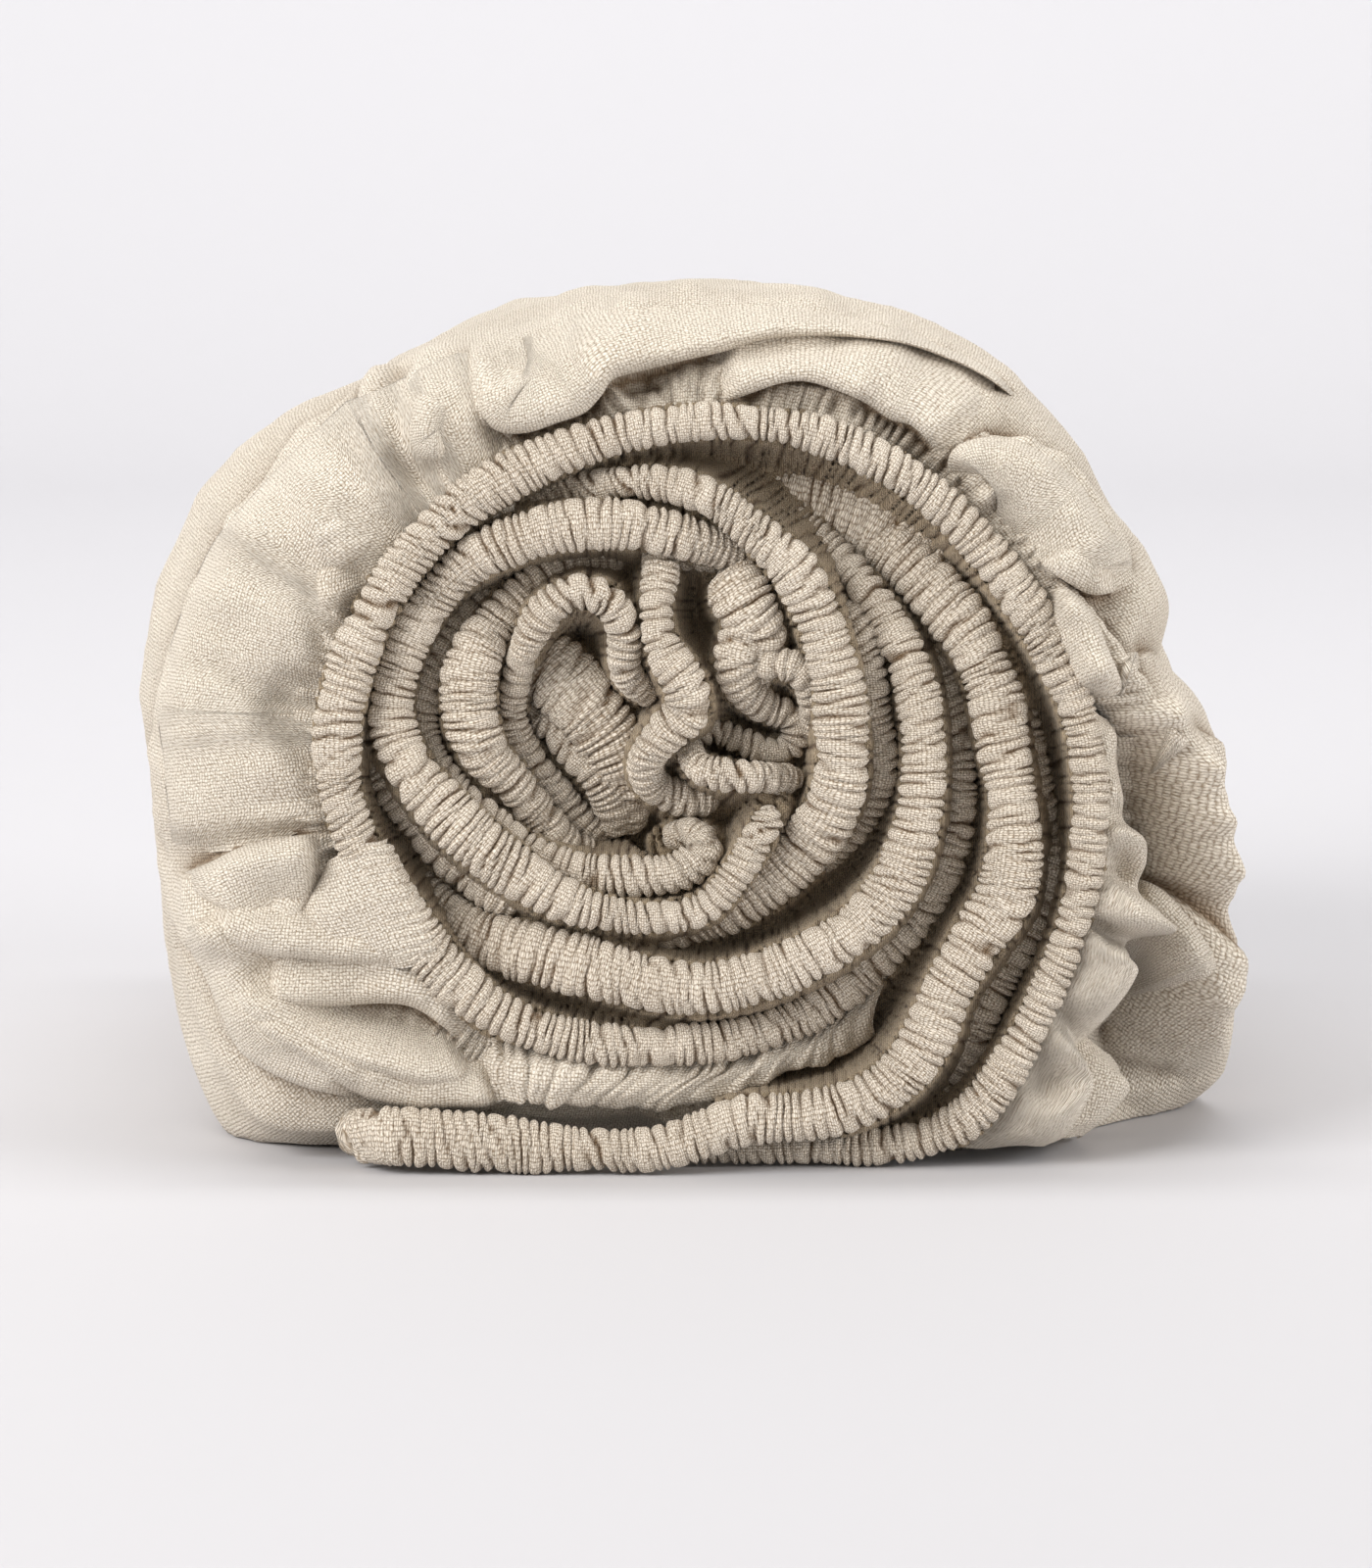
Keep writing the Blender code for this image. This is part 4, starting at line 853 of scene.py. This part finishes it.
def overlapping_folds(deep):
    """A strip along each edge of LAYER_EDGES, with LIP for its section. A strip keeps inside the outline of
    the ruff, narrows where it has no room there, and sinks into the cloth at both ends."""
    section, _ = smooth_line(np.column_stack([np.array(LIP) * (15, 8), np.zeros((len(LIP), 2))]), 0.1)
    pick = np.linspace(0, len(section) - 1, FOLD_ROWS).round().astype(int)
    distance, lift = section[pick, 0] / 15, section[pick, 1] / 8
    places, kept, maps = [], [], []
    outline = table_round(OUTLINE, False)
    for number, (height, reach, line) in enumerate(LAYER_EDGES):
        line = np.array(line, float)
        smooth, along = smooth_line(np.column_stack([line[:, 0], 0 * line[:, 0], line[:, 1]]), FOLD_STEP)
        x, z = smooth[:, 0], smooth[:, 2]
        angle = np.arctan2(z - MIDDLE[1], x - MIDDLE[0]) % (2 * math.pi)
        pull = (read_round(outline, angle, 1) - 3.5) / np.hypot(x - MIDDLE[0], z - MIDDLE[1])
        x = MIDDLE[0] + (x - MIDDLE[0]) * np.minimum(pull, 1)
        z = MIDDLE[1] + (z - MIDDLE[1]) * np.minimum(pull, 1)
        run = np.stack([np.gradient(x), np.gradient(z)])
        inward = np.stack([-run[1], run[0]]) / np.hypot(*run)
        wide = np.pad(inward, ((0, 0), (14, 14)), mode="edge")
        wide = np.stack([np.convolve(side, np.ones(29) / 29, mode="valid") for side in wide])
        share = np.clip(distance / 1.2, 0, 1)[:, None, None]
        toward = (1 - share) * inward[None] + share * wide[None]
        toward = toward / np.hypot(toward[:, 0], toward[:, 1])[:, None]
        fade = np.clip(np.minimum(along, along[-1] - along) / 9, 0, 1)
        fade = fade * fade * (3 - 2 * fade)
        swell = 1 + 0.22 * noise(along / 13, number * 3.1, 0.5, 81)
        room = np.full(len(x), 0.12)
        for share in np.linspace(0.12, 1, 23):
            at_x, at_z = (v + share * distance[-1] * reach * w for v, w in ((x, wide[0]), (z, wide[1])))
            angle = np.arctan2(at_z - MIDDLE[1], at_x - MIDDLE[0]) % (2 * math.pi)
            inside = np.hypot(at_x - MIDDLE[0], at_z - MIDDLE[1]) < read_round(outline, angle, 1) - 3
            room = np.where(inside & (room > share - 0.05), share, room)
        room = np.convolve(np.pad(room, 7, mode="edge"), np.ones(15) / 15, mode="valid")
        off = distance[:, None] * reach * room * (0.6 + 0.4 * fade)
        at_x, at_z = x + off * toward[:, 0], z + off * toward[:, 1]
        rise = lift[:, None] * height * swell * fade - 2.5 * (1 - fade)
        rise = rise + 1.0 * (crumple(seen_at(at_x, at_z, 0 * at_x), 13, number + 90) - 0.5) * fade
        rise = rise + 0.4 * (crumple(seen_at(at_x, at_z, 0 * at_x), 5.5, number + 120) - 0.5) * fade
        points = seen_at(at_x, at_z, read_map(deep, at_x, at_z) - rise)
        steps = np.linalg.norm(np.diff(points, axis=0), axis=2)
        across = np.vstack([np.zeros((1, len(x))), np.cumsum(steps, axis=0)])
        maps.append(np.stack([np.broadcast_to(along * 0.001, across.shape) + number, across], axis=-1))
        places.append(points)
        kept.append(np.ones(points.shape[:2], bool))
        kept[-1][:, -1] = False
    points = np.concatenate(places, axis=1)
    points[..., 2] = np.maximum(points[..., 2], 0.0004)
    # Painted shade on the rows tucked under each fold's lip: their crest falls, so the linen darkens there.
    under = np.clip(1 - np.arange(FOLD_ROWS) / 5, 0, 1)[:, None]
    crest = FULL_CREST * (1 - 0.8 * under) + np.zeros(points.shape[:2])
    uv, keep = np.concatenate(maps, axis=1), np.concatenate(kept, axis=1)
    return grid_mesh("outer_folds", points, uv=uv, keep=keep, crest=crest)


folds = overlapping_folds(depth_map(ruff_points))
folds.data.materials.append(cloth_linen)
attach(folds, "root")

# The far end. The sheet was folded in layers before it was rolled, so the end shows their folded edges wound
# in a spiral inside the turned-in edge of the outer turn. It isn't seen in the picture.
FAR_TURNS = 3.2
FAR_GROOVE = 7.0


def far_end():
    """Rings on the far dome from its shoulder to its middle. The main groove is a spiral, sin^2 of its
    turns, and four folded layers lie between one groove and the next, each rounded as |sin|^0.6."""
    angle = (np.arange(480) * 2 * math.pi / 480)[None]
    share = np.linspace(0.24, 1, 84)[:, None]
    share[-1] = 0.9995
    middle = read_round(table_round(MID_SECTION, False), angle[0], 1) * (1 - BACK_TAPER)
    radius, depth = far_dome(middle[None], share)
    place = in_space(radius, depth, angle)
    x, z = place[..., 0] * 1000, place[..., 2] * 1000
    sway = 0.10 * noise(x / 40, z / 40, 0.5, 71)
    turns = FAR_TURNS * np.cos(share * math.pi / 2) + angle / (2 * math.pi) + sway
    layers = np.abs(np.sin(math.pi * (4 * turns + 0.45 * noise(x / 22, z / 22, 0.5, 72)))) ** 0.6
    fade = np.clip((1 - share) / 0.12, 0, 1)
    sunk = FAR_GROOVE * np.sin(math.pi * turns) ** 2 * np.clip(2 * share, 0, 1)
    sunk = sunk * fade + FAR_GROOVE * (1 - fade) + 2.6 * (1 - layers) * fade
    sunk = sunk - 1.6 * noise(x / 17, z / 17, 1.5, 73) - 0.7 * noise(x / 6, z / 6, 1.5, 74) * fade
    points = in_space(radius, depth - 1.5 - sunk, angle)
    points[..., 2] = np.maximum(points[..., 2], 0.0003)
    run = np.linalg.norm(np.diff(points, axis=0), axis=2)
    uv = np.empty(points.shape[:2] + (2,))
    uv[..., 0] = angle * 0.07
    uv[..., 1] = np.vstack([np.zeros((1, angle.size)), np.cumsum(run, axis=0)])
    # Painted shade in the grooves between the folded layers, through crest.
    crest = 1 - 0.75 * (1 - layers) * fade
    return grid_mesh("far_end", points[::-1], closed_round=True, uv=uv[::-1], crest=crest[::-1])


far = far_end()
far.data.materials.append(cloth_linen)
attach(far, "root")


# The frill at the lower right, where the cloth leaves the casing in deep soft pleats. It is the same linen,
# drawn in by the elastic. Each column of FRILL is a tip or a hollow, from under the casing to where it ends.
def smooth_rows(rows, count):
    """Catmull-Rom surface through rows of points, read at this many rows, evenly by their mean distance."""
    padded = np.concatenate([[2 * rows[0] - rows[1]], rows, [2 * rows[-1] - rows[-2]]])
    a, b, c, d = (padded[k:len(padded) - 3 + k, None] for k in range(4))
    t = np.linspace(0, 1, 24, endpoint=False)[None, :, None, None]
    cubic = 2 * b + (c - a) * t + (2 * a - 5 * b + 4 * c - d) * t**2 + (3 * b - a - 3 * c + d) * t**3
    fine = np.concatenate([(cubic / 2).reshape(-1, *rows.shape[1:]), rows[-1:]])
    run = np.concatenate([[0], np.cumsum(np.linalg.norm(np.diff(fine, axis=0), axis=2).mean(axis=1))])
    at = np.interp(np.linspace(0, run[-1], count), run, np.arange(len(run)))
    low = np.minimum(at.astype(int), len(fine) - 2)
    part = (at - low)[:, None, None]
    return fine[low] * (1 - part) + fine[low + 1] * part


def cloth_patch(name, table, step, seed, gathers=(), rough=1.0):
    """A sheet through a table of places as seen from the front: each row of the table goes across the sheet,
    and each place is (x, z, depth) in mm. It is ridged where its first row is gathered, as (pitch, height,
    reach) says, and crumpled by creased noise."""
    table = np.array(table, float)
    control = seen_at(table[..., 0], table[..., 1], table[..., 2]) * 1000
    length = np.linalg.norm(np.diff(control, axis=0), axis=2).sum(axis=0).mean()
    width = np.linalg.norm(np.diff(control, axis=1), axis=2).sum(axis=1).max()
    points = smooth_rows(control, max(4, round(length / step)))
    points = smooth_rows(points.transpose(1, 0, 2), max(4, round(width / step))).transpose(1, 0, 2)
    down, across = np.gradient(points, axis=0), np.gradient(points, axis=1)
    normal = np.cross(down, across)
    normal /= np.maximum(np.linalg.norm(normal, axis=2), 1e-9)[..., None]
    normal *= -np.sign(normal[..., 1].sum())
    run, place = np.linalg.norm(down, axis=2), np.linalg.norm(across, axis=2)
    run[0], place[:, 0] = 0, 0
    run, place = np.cumsum(run, axis=0), np.cumsum(place, axis=1)
    rise = rough * 1.3 * (crumple(points * 0.001, 21, seed) - 0.55)
    rise += rough * 0.7 * (crumple(points * 0.001, 9.5, seed + 1) - 0.55)
    for pitch, height, reach in gathers:
        phase = place[:1] / pitch + 0.8 * noise(place[:1] / 11, run / 40, 0.5, seed + 2)
        strength = 0.75 + 0.6 * noise(place[:1] / 9, run / 25, 2.5, seed + 3)
        pleat = np.abs(np.sin(math.pi * phase)) ** 0.7 - 0.6
        rise += height * strength * pleat * np.exp(-((run / reach) ** 2))
    points = points + rise[..., None] * normal
    points[..., 2] = np.maximum(points[..., 2], 0.3)
    uv = np.stack([place, run], axis=-1) * 0.001
    return grid_mesh(name, points * 0.001, uv=uv, crest=np.ones((1, 1)))


FRILL = (
    ((90.5, 111, 10), (92, 103, 10), (93, 96, 10), (94, 90, 10), (93.5, 84, 10), (93, 80, 10), (93, 75, 10),
     (92.5, 71, 11), (92, 67, 10), (91, 63.5, 10), (90.5, 60, 11), (89, 55, 10), (87.5, 50, 10),
     (85, 44, 10), (82.5, 39, 11), (80.5, 35, 10), (77, 27, 10), (73, 21, 11), (69, 14, 13), (62, 8, 16)),
    ((94.5, 110, 10), (97, 103, 7), (98, 96, 9), (99, 90, 6.5), (98.5, 84, 9.5), (99.5, 80.5, 6),
     (98.5, 75, 10.5), (98, 71, 12), (98.5, 68, 7), (97, 62.5, 6), (95.5, 59, 12), (94.5, 56.5, 6),
     (93, 50, 6.5), (90.5, 43, 6), (87, 38, 10), (85.5, 33, 6), (81, 25, 9.5), (77.5, 18.5, 8),
     (75, 12, 10), (68, 6.5, 14)),
    ((97, 108, 12), (99.5, 103, 8), (100, 96, 10.5), (101, 90, 7), (101, 83.8, 12), (103, 80.5, 4.5),
     (102, 74.5, 14), (101.5, 69.5, 16), (104.5, 65, 5.5), (106, 60, 5), (100, 56, 18), (99.5, 53.5, 4.5),
     (100, 48.5, 4.5), (96, 40.5, 6), (90, 34, 14), (90, 30, 5), (85, 22.5, 12), (85, 15.5, 6),
     (82, 9.5, 9), (76, 7, 14)),
    ((99, 107, 17), (101, 103, 13), (101, 96, 17), (102.3, 89, 12), (102.5, 83.5, 18), (107.5, 79, 12),
     (107.8, 74, 14), (106, 67, 20), (112, 61, 12), (114.5, 57.5, 13), (103.5, 55.5, 30), (104, 51.5, 9),
     (106, 48, 10), (101.5, 40.5, 12), (92, 30.5, 26), (94, 26.5, 11), (95.3, 22, 12), (93, 15.5, 13),
     (89, 9.8, 15), (84, 7.2, 19)),
    ((99, 106, 36), (100.5, 102, 38), (101, 96, 40), (102, 89, 42), (102, 83, 44), (105, 78, 40),
     (105.5, 73, 40), (104.5, 66.5, 46), (109.5, 60.5, 38), (110.5, 57, 38), (103, 55, 54), (101.5, 50, 38),
     (102.5, 46, 38), (98.5, 38.5, 42), (91.5, 29.5, 52), (91.5, 25.5, 40), (92.5, 21, 40),
     (90.5, 14.5, 40), (87.5, 9, 42), (83, 7, 46)),
)
frill = cloth_patch("frill", FRILL, 0.7, 31, gathers=((3.1, 1.4, 6),), rough=0.35)
frill.data.materials.append(cloth_linen)
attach(frill, "root")

# The pleat behind the frill, of the same cloth, whose corner shows to its right.
BACK_PLEAT = (
    ((86, 40, 26), (86, 31, 22), (84, 21, 20), (82, 14, 20), (78, 10, 22)),
    ((93, 33.5, 27), (94, 28, 20), (94, 21, 17), (91, 13, 18), (86, 9, 20)),
    ((97.5, 29.5, 30), (100, 25.5, 24), (103.7, 20.8, 23), (99, 14, 24), (92.5, 9.3, 26)),
    ((99, 28.5, 42), (101.5, 25, 42), (101.5, 20, 46), (97.5, 13.8, 46), (91.5, 9, 46)),
)
back_pleat = cloth_patch("back_pleat", BACK_PLEAT, 0.8, 41, rough=0.5)
back_pleat.data.materials.append(cloth_linen)
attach(back_pleat, "root")

# The cloth that hangs in folds from the under side of the outermost casing, over the loose end of the hem.
HANGING = (
    ((-62, 36, 24), (-50, 34, 13), (-41, 31, 8), (-30, 29, 8), (-12, 28, 10), (5, 28, 13), (18, 30, 16),
     (30, 35, 18), (40, 41, 20), (48, 48, 22)),
    ((-62, 31, 24), (-50, 27.5, 12), (-41, 26, 3.5), (-31, 24.5, 3), (-14, 23, 6), (3, 23.5, 9),
     (16, 26, 12), (27, 30, 15), (36, 35.5, 17), (45, 42, 20)),
    ((-62, 22, 24), (-50, 20, 13), (-41, 19.5, 4), (-33, 20, 2.5), (-19, 19.5, 4), (-4, 19, 8),
     (12, 22, 11), (24, 26, 14), (35, 30, 17), (44, 37, 20)),
    ((-62, 18, 24), (-50, 16.6, 14), (-41, 17.3, 6), (-34, 16.8, 6), (-22, 16.2, 8), (-6, 16.2, 11),
     (10, 19, 14), (22, 24, 17), (34, 27.5, 20), (44, 34, 24)),
    ((-62, 20, 30), (-52, 19, 22), (-43, 20, 18), (-34, 20, 19), (-22, 19, 20), (-6, 19, 22), (10, 22, 26),
     (22, 27, 28), (34, 31, 30), (44, 37, 34)),
)
hanging = cloth_patch("hanging_folds", HANGING, 0.7, 51, gathers=((4.1, 2.4, 13), (8.3, 2.2, 22)), rough=1.3)
hanging.data.materials.append(cloth_linen)
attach(hanging, "root")

# The smooth end of the outer cloth where it runs on to the casing at the lower left, over the gathers, which
# start again from its inner edge.
GUSSET = (
    ((-70.5, 79, 2), (-66, 71.5, 2), (-62, 64.5, 2), (-58, 58, 2), (-55, 53, 2)),
    ((-72, 78.5, -1.6), (-68.5, 71, -2.2), (-64.5, 63, -2.4), (-61, 56, -2.2), (-58.5, 51, -0.5)),
    ((-75.5, 78, -2.2), (-73, 70, -2.8), (-70, 61.5, -2.8), (-67, 54, -2.2), (-65, 49, 0)),
    ((-80, 76, -1.2), (-79.5, 68, -2.2), (-77, 60, -2.2), (-74, 53, -1.2), (-70, 49, 2)),
    ((-84, 74, 3.5), (-87, 66, 1.0), (-88, 58, 0.5), (-84, 52, 2), (-74, 48.5, 6)),
    ((-85, 72, 9), (-91, 64, 8), (-97, 57, 8), (-92, 50, 9), (-78, 47, 12)),
)
gusset = cloth_patch("gusset", GUSSET, 0.6, 61, gathers=((2.9, 1.5, 8),), rough=0.5)
gusset.data.materials.append(cloth_linen)
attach(gusset, "root")

# The cloth between the turns. From the stitched edge of each turn of casing it falls back into the roll,
# still drawn into the casing's gathers, and folds up to the next turn. It is seen only in the dark between.
INNER_STEP = 0.75
FALL = 32.0


def inner_depth(x, z):
    """Depth of the cloth at places of the picture plane, and its gathers there. Behind each band it starts
    4 mm back and falls by 1 - exp(-distance from the band's edge), and the nearest of these falls shows, by
    a soft minimum. It falls slowly in the wide gap at the upper right."""
    nearest, crest = np.full(x.shape, 60.0), np.ones(x.shape)
    reach = 5.0 + 11.0 * np.exp(-(((x - 38) / 36) ** 2 + ((z - 160) / 16) ** 2))
    for seed, rows in enumerate([*BANDS.values(), *STRANDS.values()]):
        line, along = band_line(rows, 1.1)
        line_x, line_z = picture_of(line[:, :3] * 0.001)
        away, which = np.full(x.shape, 1e9), np.zeros(x.shape, int)
        for k in range(len(line)):
            far = (x - line_x[k]) ** 2 + (z - line_z[k]) ** 2
            closer = far < away
            away[closer] = far[closer]
            which[closer] = k
        run_x, run_z = np.gradient(line_x)[which], np.gradient(line_z)[which]
        off_x, off_z = x - line_x[which], z - line_z[which]
        across = -np.sign(run_x * off_z - run_z * off_x) * np.sqrt(away)
        place = along[which] + (off_x * run_x + off_z * run_z) / np.hypot(run_x, run_z)
        off = np.maximum(np.sqrt(away) - line[which, 3] / 2, 0)
        gathers = gather_height(place, across, line[which, 3], 10 * seed + 1) - 0.7
        start = line[which, 1] - FRONT * 1000 + 4.0 + 6.0 * (reach - 5.0) / 11.0
        fall = start + FALL * (1 - np.exp(-off / reach)) - 3.4 * gathers * np.exp(-off / 14)
        # crest keeps the gathers near each band, for shade painted into their creases.
        crest = np.where((away < 20**2) & (fall <= nearest + 0.6), gathers + 0.7, crest)
        nearest = -1.2 * np.log(np.exp(-nearest / 1.2) + np.exp(-fall / 1.2))
    return nearest, crest


# Painted shade: the cloth between the turns gets a much darker copy of the same linen, for the shade deep in
# the roll.
shaded_inner_linen = linen_weave("shaded_inner_linen", (0.13, 0.085, 0.045), (0.60, 0.48, 0.33), 0.72)
for part, (low, high) in (("left", (-96, 3)), ("right", (3, 104))):
    grid_x, grid_z = np.meshgrid(np.arange(low, high + 0.3, INNER_STEP), np.arange(3, 186, INNER_STEP))
    deep, gathered = inner_depth(grid_x, grid_z)
    points = seen_at(grid_x, grid_z, deep)
    dx, dz = points[..., 0] * 1000 - MIDDLE[0], points[..., 2] * 1000 - MIDDLE[1]
    around = np.arctan2(dz, dx) % (2 * math.pi)
    inside = np.hypot(dx, dz) < read_round(table_round(RIM, True), around, 1) - 0.5
    points[..., 2] = np.maximum(points[..., 2], 0.0005)
    uv = np.stack([grid_x * 0.0016, (grid_z + deep) * 0.001], axis=-1)
    inner = grid_mesh("inner_cloth_" + part, points, uv=uv, keep=inside, crest=gathered)
    inner.data.materials.append(shaded_inner_linen)
    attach(inner, "root")
